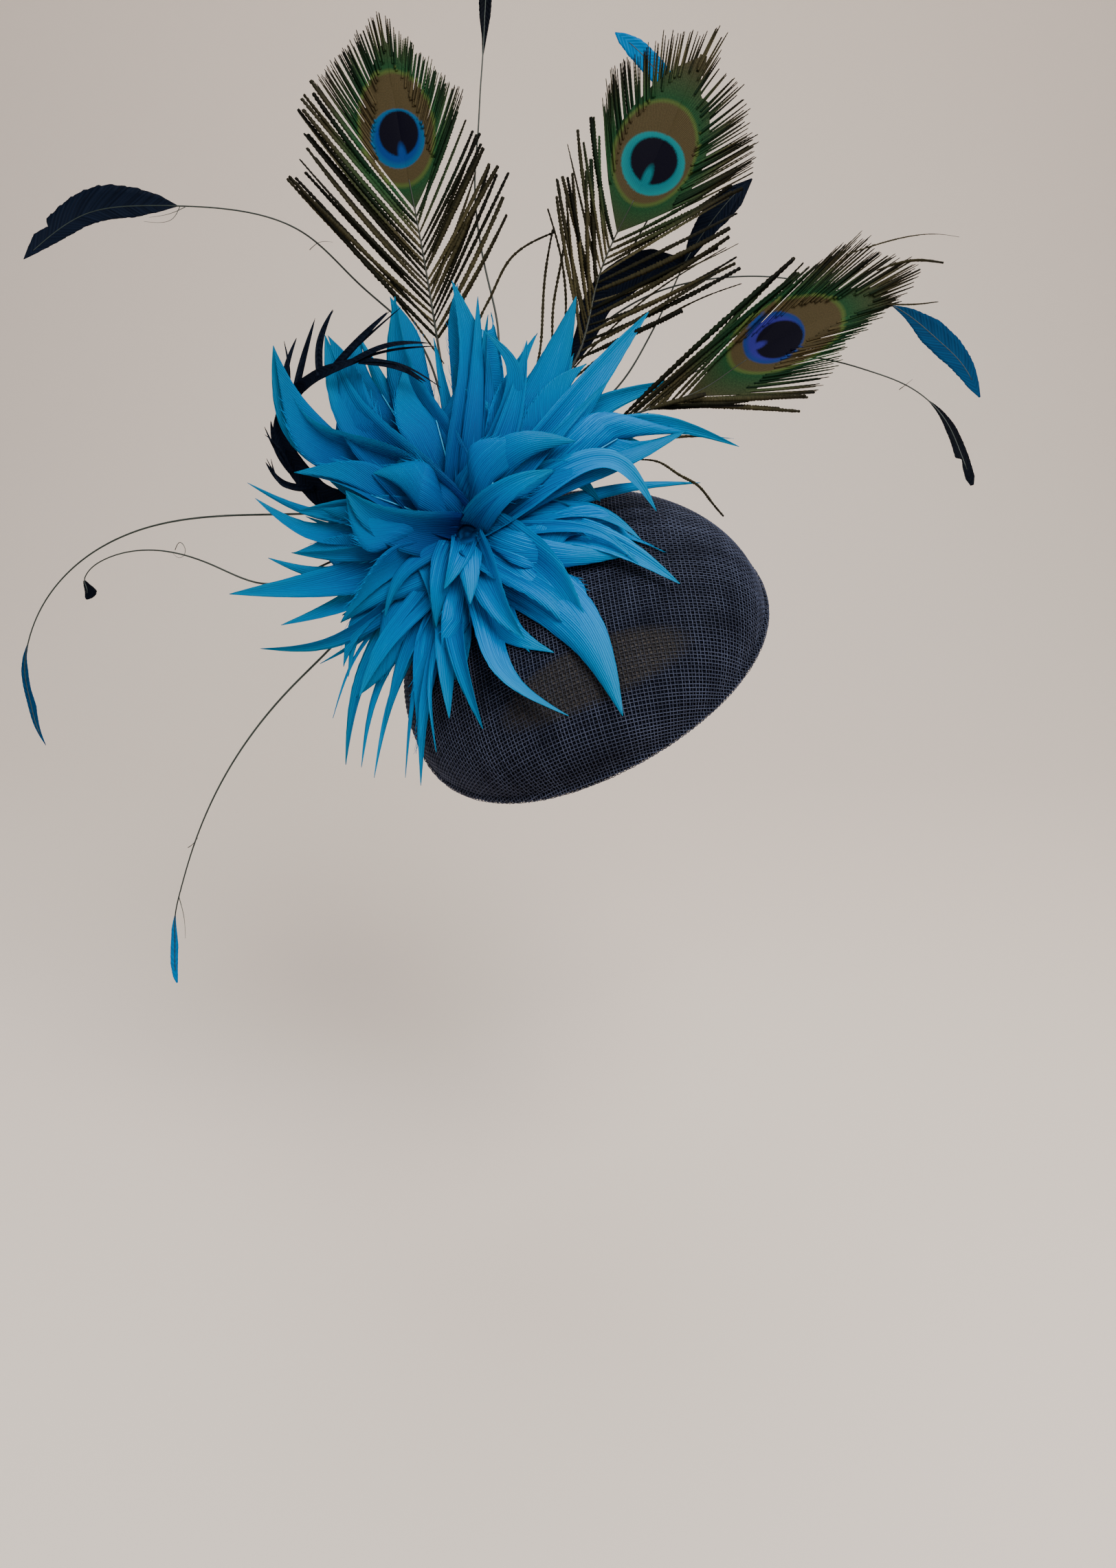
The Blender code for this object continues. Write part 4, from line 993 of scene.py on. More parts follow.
# Each shaft leaves the stem at an angle round it, anticlockwise from the right in the front
# view, and a height over the base. Its route follows as right, up, toward. The barbs of a
# side: distance of the root below the shaft's tip, then right and up of the barb's own tip.
# The eye: right and up of each oval's centre, its half width and its half length.
PEACOCKS = {
    "peacock_feather_1": {
        "angle": 97, "height": 10.5, "lie": -3.0, "tilt": 9.0,
        "route": ((-4, 38, -15), (-10, 65, -14), (-14, 90, -12), (-20, 124, -7),
                  (-26, 155, -4), (-33, 202, -2)),
        "left": ((124, -65, 137), (116, -66, 139), (108, -62, 146), (99, -63, 157), (91, -64, 167),
                 (84, -61, 170), (75, -57, 176), (68, -54, 180), (58, -48, 187), (48, -42, 194),
                 (40, -34, 202)),
        "right": ((125, 11, 122), (118, 12, 141), (109, 7, 137), (102, 7, 148), (94, 4, 152),
                  (85, 1, 162), (76, -2, 170), (69, -8, 175), (61, -13, 180), (53, -19, 186),
                  (44, -25, 193), (39, -33.2, 201)),
        "neck": 76, "loose": 17, "close": 74,
        "bronze": (-27.8, 159.5, 14.2, 21.1), "ring": (-27.4, 155.6, 10.6, 11.2),
        "core": (-27.0, 157.5, 7.7, 8.5), "notch": (-25.6, 149.5, 1.6, 4.2),
        "ring_colour": (0.002, 0.030, 0.140), "ring_edge": (0.002, 0.070, 0.160),
    },
    "peacock_feather_2": {
        "angle": 55, "height": 10.5, "lie": 2.0, "tilt": -24.0,
        "route": ((24, 38, -11), (43, 70, -10), (50, 97, -9), (60, 121, -6),
                  (73, 146, -2), (92, 192, 3)),
        "left": ((125, 37, 131), (118, 35, 138), (105, 41, 139), (96, 42, 150), (91, 46, 154),
                 (84, 50, 159), (79, 52, 163), (71, 54, 172), (64, 57, 181), (57, 62, 183),
                 (50, 72, 190), (43, 84, 194), (38, 94.4, 195)),
        "right": ((130, 80, 91), (126, 99, 102), (119, 101, 109), (103, 100, 116), (90, 101, 137),
                  (79, 110, 141), (72, 110, 148), (66, 111, 152), (60, 109, 155), (55, 108, 163),
                  (51, 106, 170), (47, 103, 177), (45, 98, 178), (43, 97, 186), (41, 100, 197),
                  (38, 95, 196)),
        "neck": 79, "loose": 15, "close": 74,
        "bronze": (72.7, 148.5, 15.2, 19.2), "ring": (72.1, 144.6, 12.4, 11.6),
        "core": (72.5, 145.6, 9.2, 8.6), "notch": (69.8, 139.6, 1.7, 4.6),
        "ring_colour": (0.002, 0.105, 0.125), "ring_edge": (0.002, 0.140, 0.150),
    },
    "peacock_feather_3": {
        "angle": 26, "height": 10.0, "lie": 3.0, "tilt": -67.0,
        "route": ((32, 25, -7), (63, 46, -5), (94, 58, -3), (104, 65, -2),
                  (121, 75, 0), (168, 98, 4)),
        "left": ((120, 125, 109), (112, 124, 98), (100, 127, 103), (90, 135, 104), (80, 143, 110),
                 (72, 152, 115), (66, 156, 113), (60, 159, 108), (54, 166, 107), (49, 172, 105),
                 (44, 174, 102), (40, 173.4, 99)),
        "right": ((108, 96, 50), (100, 125, 53), (95, 133, 54), (88, 135, 59), (82, 141, 64),
                  (76, 146, 71), (70, 146, 75), (63, 153, 80), (57, 156, 83), (50, 162, 88),
                  (45, 165, 90), (41, 167, 92), (38, 172.8, 98)),
        "neck": 93, "loose": 9, "close": 86,
        "bronze": (123.2, 77.0, 12.2, 22.6), "ring": (118.7, 75.8, 9.4, 12.2),
        "core": (120.8, 75.2, 6.9, 9.4), "notch": (112.6, 73.2, 1.2, 3.4),
        "ring_colour": (0.018, 0.016, 0.150), "ring_edge": (0.008, 0.026, 0.120),
    },
}


WEB_COLUMNS = 26
WEB_THICKNESS = 0.14
WEB_LAP = 0.4
EYE_ARCH = 0.9
LOOSE_ROWS = 84
CLOSE_ROWS = 32
SHAFT_ROWS = 160
SHAFT_END = 64.0


def stem_root(angle, height):
    """Return the first two points of a quill that leaves the stem square to its side, in mm.

    The stem stands square to the base over the heart. The angle runs round it from the right
    in the front view, and the height is measured from where it stands on the dome.
    """
    foot = np.array([*heart_in_base[:2], dome_height(*heart_in_base[:2])])
    foot = VIEW_AXES @ (BASE_TURN @ foot - np.array(HEART))
    axis = VIEW_AXES @ BASE_TURN[:, 2]
    up = np.array([0.0, 1.0, 0.0]) - axis * axis[1]
    up /= np.linalg.norm(up)
    angle = math.radians(angle)
    outward = np.cross(up, axis) * math.cos(angle) + up * math.sin(angle)
    level = foot + axis * height
    return [level + outward * (STEM_RADIUS + ROOT_GAP), level + outward * (STEM_RADIUS + ROOT_STUB)]


def rooted_stations(plan):
    """Return the points of a feather's shaft from the stem's side through its route."""
    return np.concatenate([stem_root(plan["angle"], plan["height"]), on_elevation(plan["route"])])


def make_oval():
    """Build the node group for one oval of an eye: 1 inside, 0 outside, soft at the edge."""
    group, start, end = open_group(
        "eye_oval", {"Place": "Vector", "Centre": "Vector", "Reach": "Vector", "Softness": "Float"},
        ("Inside",))
    away = wire(group, "VectorMath", (start.outputs["Place"], start.outputs["Centre"]),
                operation="SUBTRACT")
    scaled = wire(group, "VectorMath", (away, start.outputs["Reach"]), operation="DIVIDE")
    length = wire(group, "VectorMath", (scaled,), output=1, operation="LENGTH")
    inner = wire(group, "Math", (1.0, start.outputs["Softness"]), operation="SUBTRACT")
    outer = wire(group, "Math", (1.0, start.outputs["Softness"]), operation="ADD")
    group.links.new(wire(group, "MapRange", {0: length, 1: inner, 2: outer, 3: 1.0, 4: 0.0}),
                    end.inputs["Inside"])
    return group


EYE_OVAL = make_oval()


def eye_place(plan, points):
    """Return across and along from the eye's centre, turned by the feather's tilt, in dm."""
    tilt = math.radians(plan["tilt"])
    away = np.asarray(points)[..., :2] - np.array(plan["bronze"][:2])
    along = away @ np.array([-math.sin(tilt), math.cos(tilt)])
    across = away @ np.array([math.cos(tilt), math.sin(tilt)])
    return np.stack([across, along], axis=-1) / 100.0


def peacock_material(name, plan):
    """Return the barbs' material: olive, then round the eye green, bronze, ring, core, notch."""
    material, tree, shader = blank_material(name, 0.6, Specular_IOR_Level=0.04)
    place = wire(tree, "UVMap")
    shade = wire(tree, "Attribute", output=2, attribute_name="shade")
    reach = wire(tree, "Attribute", output=2, attribute_name="reach")
    grain = wire(tree, "TexNoise", {"Vector": place, "Scale": 160.0, "Detail": 3.0,
                                    "Roughness": 0.7})
    jitter = wire(tree, "Math", (shade, grain), operation="ADD")
    jitter = wire(tree, "Math", (jitter, -1.0), operation="ADD")
    slide = wire(tree, "CombineXYZ", (times(tree, jitter, 0.006), times(tree, jitter, 0.014), 0.0))
    slid = wire(tree, "VectorMath", (place, slide), operation="ADD")

    def oval(key, stretch, softness):
        right, up, half_width, half_length = plan[key]
        item = tree.nodes.new("ShaderNodeGroup")
        item.node_tree = EYE_OVAL
        centre = eye_place(plan, np.array([right, up]))
        item.inputs["Centre"].default_value = (centre[0], centre[1], 0.0)
        item.inputs["Reach"].default_value = (half_width * stretch / 100.0,
                                              half_length * stretch / 100.0, 1.0)
        item.inputs["Softness"].default_value = softness
        tree.links.new(slid, item.inputs["Place"])
        return item.outputs["Inside"]

    lit = wire(tree, "MapRange", {0: times(tree, grain, shade), 1: 0.1, 2: 0.6})
    colour = blend_colours(tree, lit, (0.006, 0.006, 0.003), (0.062, 0.052, 0.024))
    tip = wire(tree, "MapRange", {0: reach, 1: 0.55, 2: 1.0})
    dark = blend_colours(tree, lit, (0.004, 0.004, 0.003), (0.020, 0.018, 0.010))
    colour = blend_colours(tree, tip, colour, dark)
    green = blend_colours(tree, lit, (0.003, 0.018, 0.007), (0.010, 0.060, 0.020))
    colour = blend_colours(tree, oval("bronze", 1.45, 0.28), colour, green)
    colour = blend_colours(tree, oval("bronze", 1.06, 0.03), colour, (0.050, 0.075, 0.018))
    bronze = blend_colours(tree, lit, (0.036, 0.027, 0.012), (0.062, 0.046, 0.020))
    colour = blend_colours(tree, oval("bronze", 0.99, 0.03), colour, bronze)
    colour = blend_colours(tree, oval("ring", 1.0, 0.035), colour, plan["ring_edge"])
    colour = blend_colours(tree, oval("ring", 0.86, 0.12), colour, plan["ring_colour"])
    core = blend_colours(tree, oval("notch", 1.0, 0.35), (0.0016, 0.0012, 0.0055),
                         plan["ring_colour"])
    colour = blend_colours(tree, oval("core", 1.0, 0.05), colour, core)
    barb = wire(tree, "Attribute", output=2, attribute_name="barb")
    ridge = wire(tree, "Math", (times(tree, barb, 2.0 * math.pi),), operation="COSINE")
    lined = wire(tree, "MapRange", {0: ridge, 1: -1.0, 2: 0.2, 3: 0.62, 4: 1.05})
    line_colour(tree, shader, colour, lined)
    tree.links.new(wire(tree, "Bump", {"Strength": 0.3, "Distance": 0.0002, "Height": grain}),
                   shader.inputs["Normal"])
    return material


def barb_routes(root, forward, tip, share, bulge):
    """Return each barb as a curve from root to tip, bent by bulge of its span along the shaft.

    share holds how far along its barb each point lies [barb, row], from 0 to 1.
    """
    span = np.linalg.norm(tip - root, axis=1, keepdims=True)
    middle = root + (tip - root) * 0.5 + forward * span * np.reshape(bulge, (-1, 1))
    share = share[..., None]
    return ((1.0 - share) ** 2 * root[:, None] + 2.0 * share * (1.0 - share) * middle[:, None]
            + share ** 2 * tip[:, None])


def barb_ends(plan, side, drop, shaft, travel):
    """Return the roots, the shaft's direction there and the tips of barbs at each drop in mm."""
    table = np.array(plan[side], dtype=float)[::-1]
    tips = np.stack([np.interp(drop, table[:, 0], table[:, column]) for column in (1, 2)]
                    + [np.full(len(drop), plan["lie"])], axis=1)
    where = travel[-1] - drop
    root = np.stack([np.interp(where, travel, shaft[:, axis]) for axis in range(3)], axis=1)
    ahead = np.stack([np.interp(where + 4.0, travel, shaft[:, axis]) for axis in range(3)], axis=1)
    forward = (ahead - root) / np.linalg.norm(ahead - root, axis=1, keepdims=True)
    return root, forward, tips


def web_reach(plan, side, drop):
    """Return the share of each close barb that hooks to its neighbours: less near the neck."""
    high = min(row[0] for row in plan[side])
    return np.interp(drop, [high, plan["neck"]], [0.74, 0.54])


def web_bulge(plan, side, drop):
    """Return how far the close barbs bow out: straight at the shaft's end, more lower down."""
    high = min(row[0] for row in plan[side])
    return np.interp(drop, [high, high + 12.0], [0.0, -0.085])


def eye_web(name, plan, shaft, travel, material):
    """Add the vane of the eye: barbs hooked into a sheet on either side, lapped in the middle."""
    sheets, places, marks = [], [], []
    for side in ("left", "right"):
        drop = np.linspace(plan["neck"], min(row[0] for row in plan[side]), plan["close"])
        root, forward, tips = barb_ends(plan, side, drop, shaft, travel)
        share = web_reach(plan, side, drop)[:, None] * np.linspace(0.0, 1.0, WEB_COLUMNS)
        points = barb_routes(root, forward, on_elevation(tips), share, web_bulge(plan, side, drop))
        points[..., 2] += np.sin(share * math.pi) * EYE_ARCH
        points += (np.cross(forward, FRONT) * (WEB_LAP if side == "left" else -WEB_LAP))[:, None]
        if side == "left":
            points = points[:, ::-1]
        back = points - edge_frame(points) * WEB_THICKNESS
        sheets.append(np.concatenate([points, back[:, ::-1]], axis=1))
        places.append(eye_place(plan, np.concatenate([points, points[:, ::-1]], axis=1)))
        marks.append(np.broadcast_to(np.arange(float(len(drop)))[:, None], places[-1].shape[:2]))
    piece = add_grid(name + "_eye", heart_to_world(np.stack(sheets)), material, np.stack(places),
                     closed=True, marks={"reach": 0.2, "shade": 0.75, "barb": np.stack(marks)})
    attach(piece, "root")
    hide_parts(name)


def comb_barbs(name, plan, shaft, travel, material, seed):
    """Add a feather's barbs on both sides: the loose ones below the neck, the close ones above."""
    draw = np.random.default_rng(seed)
    for kind, rows in (("loose", LOOSE_ROWS), ("close", CLOSE_ROWS)):
        count = plan[kind]
        rings, places, marks = [], [], []
        for side in ("left", "right"):
            low, high = plan[side][0][0], plan[side][-1][0]
            ends = (low, plan["neck"]) if kind == "loose" else (plan["neck"], high)
            drop = np.linspace(*ends, count, endpoint=kind == "close")
            drop = drop + draw.uniform(-0.5, 0.5, count)
            root, forward, tips = barb_ends(plan, side, drop, shaft, travel)
            spread = 2.6 if kind == "loose" else 1.0
            tips += draw.normal(0.0, spread, (count, 3)) * np.array([1.0, 1.0, 0.7])
            bulge = draw.uniform(-0.10, 0.0, count)
            if kind == "close":
                bulge = web_bulge(plan, side, drop) + 0.1 * (bulge + 0.05)
            share = np.linspace(0.0, 1.0, rows)
            along = np.broadcast_to(share, (count, rows))
            if kind == "close":
                begin = web_reach(plan, side, drop)[:, None] - 0.12
                along = begin + (1.0 - begin) * share
            points = barb_routes(root, forward, on_elevation(tips), along, bulge)
            arch = draw.uniform(0.2, 1.6, count)[:, None] if kind == "loose" else EYE_ARCH
            points[..., 2] += np.sin(along * math.pi) * arch
            own = draw.uniform(0.0, 1.0, count)
            if kind == "loose":
                widths = 0.95 + 1.25 * np.sin(share * math.pi * 0.9) ** 0.6
                widths = widths[None] * draw.uniform(0.75, 1.15, count)[:, None]
                fringe = np.where(np.arange(rows) % 2 == 0, 1.0, 0.72)
                widths = widths * (fringe[None] + draw.uniform(-0.12, 0.12, (count, rows)))
                tilt = draw.uniform(-0.5, 0.5, count)[:, None]
                tilt = tilt + draw.uniform(-0.9, 0.9, count)[:, None] * share
            else:
                widths = np.interp(share, [0.0, 0.3, 0.75, 1.0], [1.0, 0.85, 0.62, 0.34])
                fringe = np.interp(share, [0.3, 0.7], [0.95, 0.75])
                fringe = np.where(np.arange(rows) % 2 == 0, 1.0, fringe)
                widths = widths[None] * fringe[None] * draw.uniform(0.85, 1.15, count)[:, None]
                tilt = np.full((count, rows), 0.16 if side == "left" else -0.16)
            rings.append(ribbon_rings(points, widths, tilt))
            places.append(eye_place(plan, points))
            marks.append(np.stack(np.broadcast_arrays(share[None], own[:, None]), axis=-1))
        rings, places, marks = (np.concatenate(stack) for stack in (rings, places, marks))
        places = np.broadcast_to(places[:, :, None], (*rings.shape[:3], 2))
        piece = add_grid(f"{name}_{kind}_barbs", heart_to_world(rings), material, places,
                         closed=True, marks={"reach": marks[..., :1], "shade": marks[..., 1:]})
        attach(piece, "root")
        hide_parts(name)


shaft_paint = grained_material("peacock_shaft", 0.38, 300.0, (0.006, 0.008, 0.007),
                               (0.035, 0.040, 0.026), Specular_IOR_Level=0.3)[0]

for seed, (name, plan) in enumerate(PEACOCKS.items()):
    shaft = smooth_route(rooted_stations(plan), SHAFT_ROWS)
    travel = travelled(shaft)
    barb_paint = peacock_material(name + "_barbs", plan)
    eye_web(name, plan, shaft, travel, barb_paint)
    comb_barbs(name, plan, shaft, travel, barb_paint, 31 + seed)
    bare = shaft[travel < travel[-1] - SHAFT_END]
    bare_rings = tube_rings(bare, np.linspace(0.85, 0.22, len(bare)))
    quill = add_grid(name + "_shaft", heart_to_world(bare_rings)[None], shaft_paint, closed=True)
    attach(quill, "root")
    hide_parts(name)

# Single barbs that have come away from their neighbours, and the fluff low on the shafts.
# Right, up and toward of the points of each.
LOOSE_HERLS = (
    ((66, 29, -4), (74, 28, -2), (82, 23, -1), (89, 19, 0), (94, 13, 0), (99, 7, 0)),
    ((70, 33, -3), (78, 37, -2), (86, 38, -2), (95, 38, -2)),
    ((146, 108, 4), (165, 114, 5), (183, 116, 5), (190, 115, 5)),
    ((158, 102, 4), (173, 106, 5), (184, 105, 5)),
    ((162, 89, 4), (173, 89, 4), (182, 90, 4)),
    ((2, 62, -15), (5, 84, -15), (9, 92, -15), (17, 107, -14), (27, 114, -13), (34, 117, -12)),
    ((20, 50, -14), (27, 66, -14), (29, 84, -13), (30, 100, -12), (33, 118, -11)),
    ((24, 50, -14), (32, 68, -14), (33, 86, -13), (36, 104, -12), (39, 124, -11)),
    ((27, 52, -14), (36, 72, -14), (38, 92, -13), (36, 108, -12), (31, 126, -11)),
    ((34, 56, -13), (52, 76, -12), (70, 92, -10), (88, 104, -9), (100, 111, -8)),
    ((34, 54, -13), (56, 72, -12), (76, 84, -10), (92, 92, -9), (106, 97, -8)),
    ((-9, 66, -13), (-22, 84, -12), (-38, 104, -10), (-54, 122, -8), (-64, 132, -7)),
)


HERL_ROWS = 90
HERL_WIDTH = 1.3
herl_draw = np.random.default_rng(41)
herl_points = np.stack([smooth_route(on_elevation(route), HERL_ROWS) for route in LOOSE_HERLS])
herl_share = np.linspace(0.0, 1.0, HERL_ROWS)
herl_fringe = np.where(np.arange(HERL_ROWS) % 2 == 0, 1.0, 0.7)
herl_widths = HERL_WIDTH * (0.4 + 0.6 * np.sin(herl_share * math.pi * 0.92) ** 0.6) * herl_fringe
herl_widths = herl_widths[None] * herl_draw.uniform(0.8, 1.15, herl_points.shape[:2])
herl_tilt = herl_draw.uniform(-0.6, 0.6, len(LOOSE_HERLS))[:, None]
herl_tilt = herl_tilt + herl_draw.uniform(-1.0, 1.0, len(LOOSE_HERLS))[:, None] * herl_share
herl_rings = ribbon_rings(herl_points, herl_widths, herl_tilt)
herl_places = np.full((*herl_rings.shape[:3], 2), 9.0)
herls = add_grid("loose_herls", heart_to_world(herl_rings), peacock_material("loose_barbs", plan),
                 herl_places, closed=True, marks={"reach": herl_share[None, :, None], "shade": 0.5})
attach(herls, "root")
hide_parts("peacock_feather_2")


# The stripped feathers: cock feathers dyed navy, black, teal or turquoise, whose barbs are pulled
# off the shaft up to a blade left at its end. The bare quill is thin and springy and is curled
# by hand.

# A blade starts at the numbered point of the route. Its rows: share of the blade's length, and
# how far it reaches to the left and right of the shaft, seen along it from the front.
QUILL_ROOT_RADIUS = 0.62
QUILL_TIP_RADIUS = 0.22
QUILL_ROWS = 260
BLADE_ROWS = 90
BLADE_THICKNESS = 0.25
STRIPPED = {
    "stripped_feather_1": {
        "angle": 112, "height": 4.5, "blade": 5, "dye": "navy",
        "route": ((-8, 45, -18), (-19, 75, -20), (-42, 97, -20), (-64, 117, -17), (-95, 126, -12),
                  (-113, 127, -10), (-126, 127, -9), (-147, 124, -8), (-164, 113, -6),
                  (-173, 105, -5)),
        "rows": ((0, .3, .3), (.1, 2.9, 4.1), (.25, 5.3, 7.3), (.4, 5.2, 9), (.55, 5.2, 8.2),
                 (.68, 5, 6.4), (.75, 4.4, 5.6), (.76, 4.3, 3.2), (.85, 3, 4.3), (.94, 1.4, 1.9),
                 (1, .1, .1)),
    },
    "stripped_feather_2": {
        "angle": 84, "height": 6.0, "blade": 6, "dye": "black",
        "route": ((8, 40, -17), (12, 77, -17), (8, 98, -15), (3, 141, -10), (4, 154, -8),
                  (5, 172, -6), (6, 186, -5), (7, 206, -4), (8, 218, -3), (9, 230, -2)),
        "rows": ((0, .3, .3), (.15, .8, 1.2), (.35, 2.2, 2.5), (.6, 3.2, 2.7), (.8, 2.8, 2.2),
                 (.93, 1.6, 1.2), (1, .1, .1)),
    },
    "stripped_feather_3": {
        "angle": 64, "height": 3.0, "blade": 4, "dye": "turquoise",
        "route": ((20, 36, -25), (45, 80, -32), (66, 115, -32), (80, 140, -28), (86, 156, -25),
                  (82, 168, -22), (74, 178, -20), (66, 187, -18), (57, 194, -16)),
        "rows": ((0, .4, .4), (.2, 2.5, 2.5), (.4, 4, 4), (.6, 4.7, 4.5), (.8, 4.3, 3.8),
                 (.93, 2.5, 2), (1, .2, .2)),
    },
    "stripped_feather_4": {
        "angle": 44, "height": 6.5, "blade": 4, "dye": "navy",
        "route": ((30, 30, -18), (58, 57, -18), (69, 74, -18), (78, 92, -18), (84, 105, -17),
                  (93, 119, -16), (101, 129, -15), (109, 137, -14)),
        "rows": ((0, .4, .4), (.2, 3.5, 3), (.45, 5.6, 5), (.65, 4.6, 4.6), (.85, 2.2, 2.3),
                 (1, .1, .1)),
    },
    "stripped_feather_5": {
        "angle": 54, "height": 5.5, "blade": 6, "dye": "teal",
        "route": ((32, 58, -27), (53, 82, -28), (74, 94, -28), (96, 99, -27), (123, 99, -26),
                  (146, 94, -24), (165, 88, -22), (174, 82, -21), (182, 75, -20), (191, 66, -19),
                  (198, 53, -18)),
        "rows": ((0, .3, .3), (.15, 3.2, 2.5), (.35, 6, 5.8), (.55, 5.8, 6.2), (.75, 3.8, 5.1),
                 (.9, 1.9, 3.2), (1, .3, .4)),
    },
    "stripped_feather_6": {
        "angle": 30, "height": 3.5, "blade": 6, "dye": "black",
        "route": ((45, 37, -15), (85, 62, -18), (125, 69, -16), (142, 67, -13), (156, 63, -10),
                  (169, 58, -8), (179, 51, -6), (186, 42, -5), (190, 33, -4), (193, 25, -3),
                  (195, 19, -3)),
        "rows": ((0, .3, .3), (.15, 1.2, 1), (.35, 2.1, 2.2), (.55, 2.4, 2.6), (.68, 2.4, 3.1),
                 (.71, 2.4, .6), (.8, 2.2, 1.6), (.92, 2, 2), (1, .7, .7)),
    },
    "stripped_feather_7": {
        "angle": 174, "height": 5.0, "blade": 6, "dye": "teal",
        "route": ((-30, 4, -13), (-65, 8, -10), (-98, 7, -6), (-126, 2, -3), (-149, -10, 0),
                  (-165, -29, 2), (-170, -43, 3), (-171, -53, 3), (-169, -64, 3), (-166, -75, 3),
                  (-162, -83, 3)),
        "rows": ((0, .3, .3), (.1, .5, .9), (.25, 1.5, 1.3), (.45, 1.5, 1.3), (.6, 2.1, 1.2),
                 (.75, 1.4, 1), (.9, .6, .5), (1, .1, .1)),
    },
    "stripped_feather_8": {
        "angle": 198, "height": 7.0, "blade": 6, "dye": "black",
        "route": ((-40, -7, -10), (-78, -19, -8), (-98, -12, -6), (-123, -6, -4), (-141, -10, -3),
                  (-147, -15, -3), (-148, -18, -3), (-147, -21, -3), (-147, -24, -3),
                  (-147, -27, -3)),
        "rows": ((0, .5, .5), (.25, 1.6, .9), (.45, 3, .9), (.6, 4, .9), (.75, 3.6, .9),
                 (.9, 2.2, .8), (1, .3, .3)),
    },
    "stripped_feather_9": {
        "angle": 222, "height": 5.0, "blade": 6, "dye": "turquoise",
        "route": ((-30, -24, -8), (-54, -45, -8), (-68, -59, -6), (-93, -92, 0), (-107, -124, 3),
                  (-111, -138, 4), (-113, -148, 4), (-113, -157, 4), (-113, -166, 4),
                  (-112, -174, 4)),
        "rows": ((0, .3, .3), (.2, .8, 1.2), (.45, 1.4, 1.6), (.7, 1.3, 1.6), (.9, .8, 1.2),
                 (1, .3, .4)),
    },
}

DYES = {
    "navy": vane_material("navy_vane", (0.001, 0.002, 0.005), (0.002, 0.004, 0.010),
                          (0.006, 0.011, 0.025), 420.0, 330.0),
    "black": vane_material("black_vane", (0.001, 0.001, 0.002), (0.001, 0.002, 0.004),
                           (0.003, 0.004, 0.009), 420.0, 330.0, roughness=0.5),
    "teal": vane_material("teal_vane", (0.0, 0.016, 0.050), (0.0, 0.030, 0.088),
                          (0.0, 0.046, 0.125), 420.0, 330.0),
    "turquoise": vane_material("turquoise_vane", (0.0, 0.060, 0.18), (0.0, 0.115, 0.31),
                               (0.0, 0.17, 0.42), 420.0, 330.0),
}
quill_paint = grained_material("bare_quill", 0.35, 200.0, (0.005, 0.010, 0.009),
                               (0.030, 0.042, 0.034), Specular_IOR_Level=0.3)[0]


def cut_blade(points, rows, draw):
    """Return a blade as a thin closed vane along the end of its quill, its edge of barb tips.

    Its half widths follow the rows, less a saw of barb tips 0.05 of the half width deep.
    """
    share = np.linspace(0.0, 1.0, len(points))
    table = np.array(rows, dtype=float)
    half = np.stack([np.interp(share, table[:, 0], table[:, column]) for column in (1, 2)], axis=1)
    teeth = (share[:, None] * draw.uniform(14.0, 22.0, 2) + draw.uniform(0.0, 1.0, 2)) % 1.0
    half = half * (1.0 - 0.05 * teeth + draw.uniform(-0.02, 0.02, half.shape))
    roll = draw.uniform(-0.25, 0.25) + draw.uniform(-0.3, 0.3) * share
    return vane_rings(points, half, draw.uniform(0.10, 0.22), roll, BLADE_THICKNESS)


quill_share = np.linspace(0.0, 1.0, QUILL_ROWS)
quill_radius = QUILL_ROOT_RADIUS + (QUILL_TIP_RADIUS - QUILL_ROOT_RADIUS) * quill_share ** 0.8
blade_reach = 0.3 + 0.5 * np.linspace(0.0, 1.0, BLADE_ROWS)[None, :, None]
for number, (name, plan) in enumerate(STRIPPED.items()):
    draw = np.random.default_rng(60 + number)
    stations = rooted_stations(plan)
    lengths = travelled(stations)
    route = smooth_route(stations, QUILL_ROWS)
    start = int((QUILL_ROWS - 1) * lengths[2 + plan["blade"]] / lengths[-1])
    quill_rings = tube_rings(route[:-6:2], quill_radius[:-6:2])
    quill = add_grid(name + "_quill", heart_to_world(quill_rings)[None], quill_paint, closed=True)
    ring, place = cut_blade(smooth_route(route[start::4], BLADE_ROWS), plan["rows"], draw)
    blade = add_grid(name + "_blade", heart_to_world(ring)[None], DYES[plan["dye"]], place[None],
                     closed=True, marks={"reach": blade_reach, "shade": 0.6})
    for piece in (quill, blade):
        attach(piece, "root")
        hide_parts(name)

# Stray barbs and burrs left on the quills by the stripping
QUILL_HAIRS = (
    ((-108, -121, 3), (-106, -119.5, 4), (-104, -117, 4)),
    ((-111.5, -140, 4), (-109.5, -148, 5), (-109, -156, 5)),
    ((166.8, 56, -8), (169.5, 58, -7), (172, 60, -7)),
    ((-111, 127, -10), (-114, 122, -9), (-125, 121, -8)),
    ((-109, 126.6, -10), (-115, 124, -9), (-123, 122.6, -8)),
    ((-113, -6, -5), (-111, -3, -4), (-109, -6.6, -4), (-111, -9, -4), (-114, -7, -4)),
    ((-61, 110, -18), (-57, 113, -18), (-52, 113, -18)),
)
HAIR_ROWS = 16
hair_points = np.stack([smooth_route(on_elevation(rows), HAIR_ROWS) for rows in QUILL_HAIRS])
hair_widths = np.broadcast_to(np.linspace(0.35, 0.12, HAIR_ROWS), hair_points.shape[:2])
hair_rings = ribbon_rings(hair_points, hair_widths, 0.0)
hairs = add_grid("quill_hairs", heart_to_world(hair_rings), quill_paint, closed=True)
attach(hairs, "root")
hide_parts("stripped_feather_9")


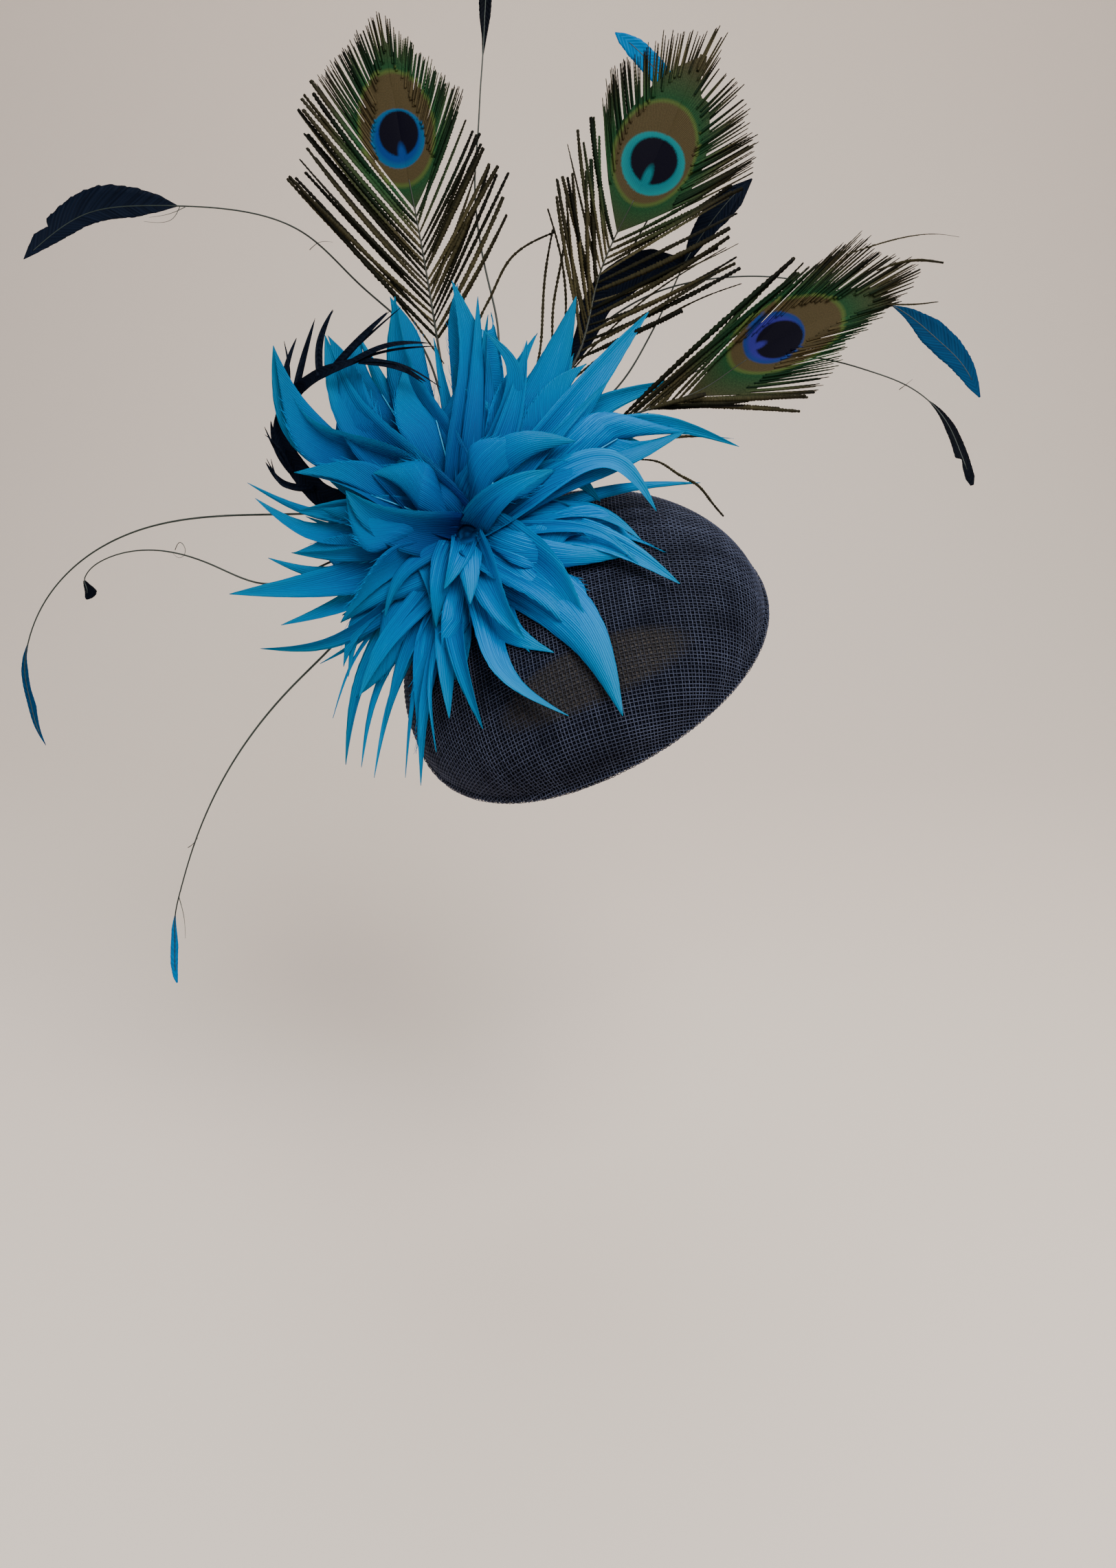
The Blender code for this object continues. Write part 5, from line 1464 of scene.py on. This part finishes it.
# The dark feathers: one goose feather dyed black-navy, curled round and split into spikes, at
# the left, and a plain one behind the second peacock feather.
SPIKED_BODY = {
    "angle": 158, "height": 8.5, "widths": (1.5, 2.5, 9, 10, 8, 6, 5, 4, 1),
    "route": ((-30, 10, -9), (-54, 14, -9), (-65, 25, -9), (-72, 40, -9), (-67, 54, -8),
              (-61.5, 59, -2), (-56, 62.5, 5), (-47, 66, 8), (-37, 69, 8)),
}
SPIKES = (
    ((-68, 24, -8), (-74, 34, -9), (-76, 44, -9)),
    ((-59, 18, -8), (-71, 20, -9), (-78, 28, -9)),
    ((-70, 49, -8), (-70, 63, -10), (-66, 76, -12)),
    ((-67, 52, -7), (-63, 69, -9), (-59, 83, -10)),
    ((-57, 61, 4), (-57, 74, 4), (-52, 87, 3)),
    ((-52, 64, 7), (-41, 76, 9), (-31, 86, 9)),
    ((-44, 67, 8), (-30, 73, 9), (-15, 74, 9)),
    ((-42, 67, 8), (-28, 65, 9), (-16, 59, 10)),
)
SPIKE_SPLIT = 0.5
SPIKE_ROWS = 40
SPIKE_THICKNESS = 0.2
DARK_ROWS = 120
DARK_FEATHER = {
    "angle": 66, "height": 8.0, "widths": (1.5, 1.5, 1.6, 1.8, 3, 6, 11, 14.5, 13, 2),
    "route": ((22, 36, -18), (38, 64, -22), (46, 78, -22), (50, 88.5, -22),
              (58, 97, -22), (69, 103, -22), (81, 104.5, -22), (87, 108, -22)),
}
DARK_TURN = {
    "widths": (3, 8.5, 11.5, 9, 0.6),
    "route": ((85, 106.5, -22), (90, 115, -21), (97, 124, -20), (103.5, 131, -19),
              (110, 137.5, -18)),
}


def dark_vane(name, part, plan, seed, cup):
    """Add a dark feather, or one turn of it, as a vane along its route.

    Its edge is a saw of 24 barb tips, 0.03 of the half width deep.
    """
    draw = np.random.default_rng(seed)
    stations = rooted_stations(plan) if "angle" in plan else on_elevation(plan["route"])
    points = smooth_route(stations, DARK_ROWS)
    widths = np.interp(np.linspace(0.0, 1.0, DARK_ROWS),
                       np.linspace(0.0, 1.0, len(plan["widths"])), plan["widths"])
    teeth = (np.linspace(0.0, 24.0, DARK_ROWS)[:, None] + draw.uniform(0.0, 1.0, 2)) % 1.0
    half = widths[:, None] / 2.0 * (1.0 - 0.03 * teeth)
    ring, place = vane_rings(points, half, cup, 0.25 * np.sin(np.linspace(0.0, 5.0, DARK_ROWS)))
    piece = add_grid(name + "_" + part, heart_to_world(ring)[None], DYES["navy"], place[None],
                     closed=True, marks={"reach": 0.5, "shade": 0.5})
    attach(piece, "root")
    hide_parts(name)


dark_vane("spiked_feather", "vane", SPIKED_BODY, 71, 0.3)
dark_vane("dark_feather", "vane", DARK_FEATHER, 72, 0.35)
dark_vane("dark_feather", "turn", DARK_TURN, 74, 0.3)

spike_draw = np.random.default_rng(73)
spike_rings, spike_places = [], []
for rows in SPIKES:
    for twin in range(3):
        route = np.array(rows, dtype=float)
        stray = spike_draw.normal(0.0, 1.0, (2, 3)) * twin * SPIKE_SPLIT
        route[1:] += stray * np.array([[1.0], [3.0]])
        points = smooth_route(on_elevation(route), SPIKE_ROWS)
        share = np.linspace(0.0, 1.0, SPIKE_ROWS)
        width = (5.0 if twin == 0 else 2.0) * (share + 0.15) ** 0.4 * (1.0 - share) ** 0.8 + 0.15
        ring, place = vane_rings(points, np.stack([width, width], axis=1) / 2.0, 0.35,
                                 spike_draw.uniform(-0.5, 0.5), SPIKE_THICKNESS)
        spike_rings.append(ring)
        spike_places.append(place)
spikes = add_grid("feather_spikes", heart_to_world(np.stack(spike_rings)), DYES["navy"],
                  np.stack(spike_places), closed=True, marks={"reach": 0.5, "shade": 0.5})
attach(spikes, "root")
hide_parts("spiked_feather")
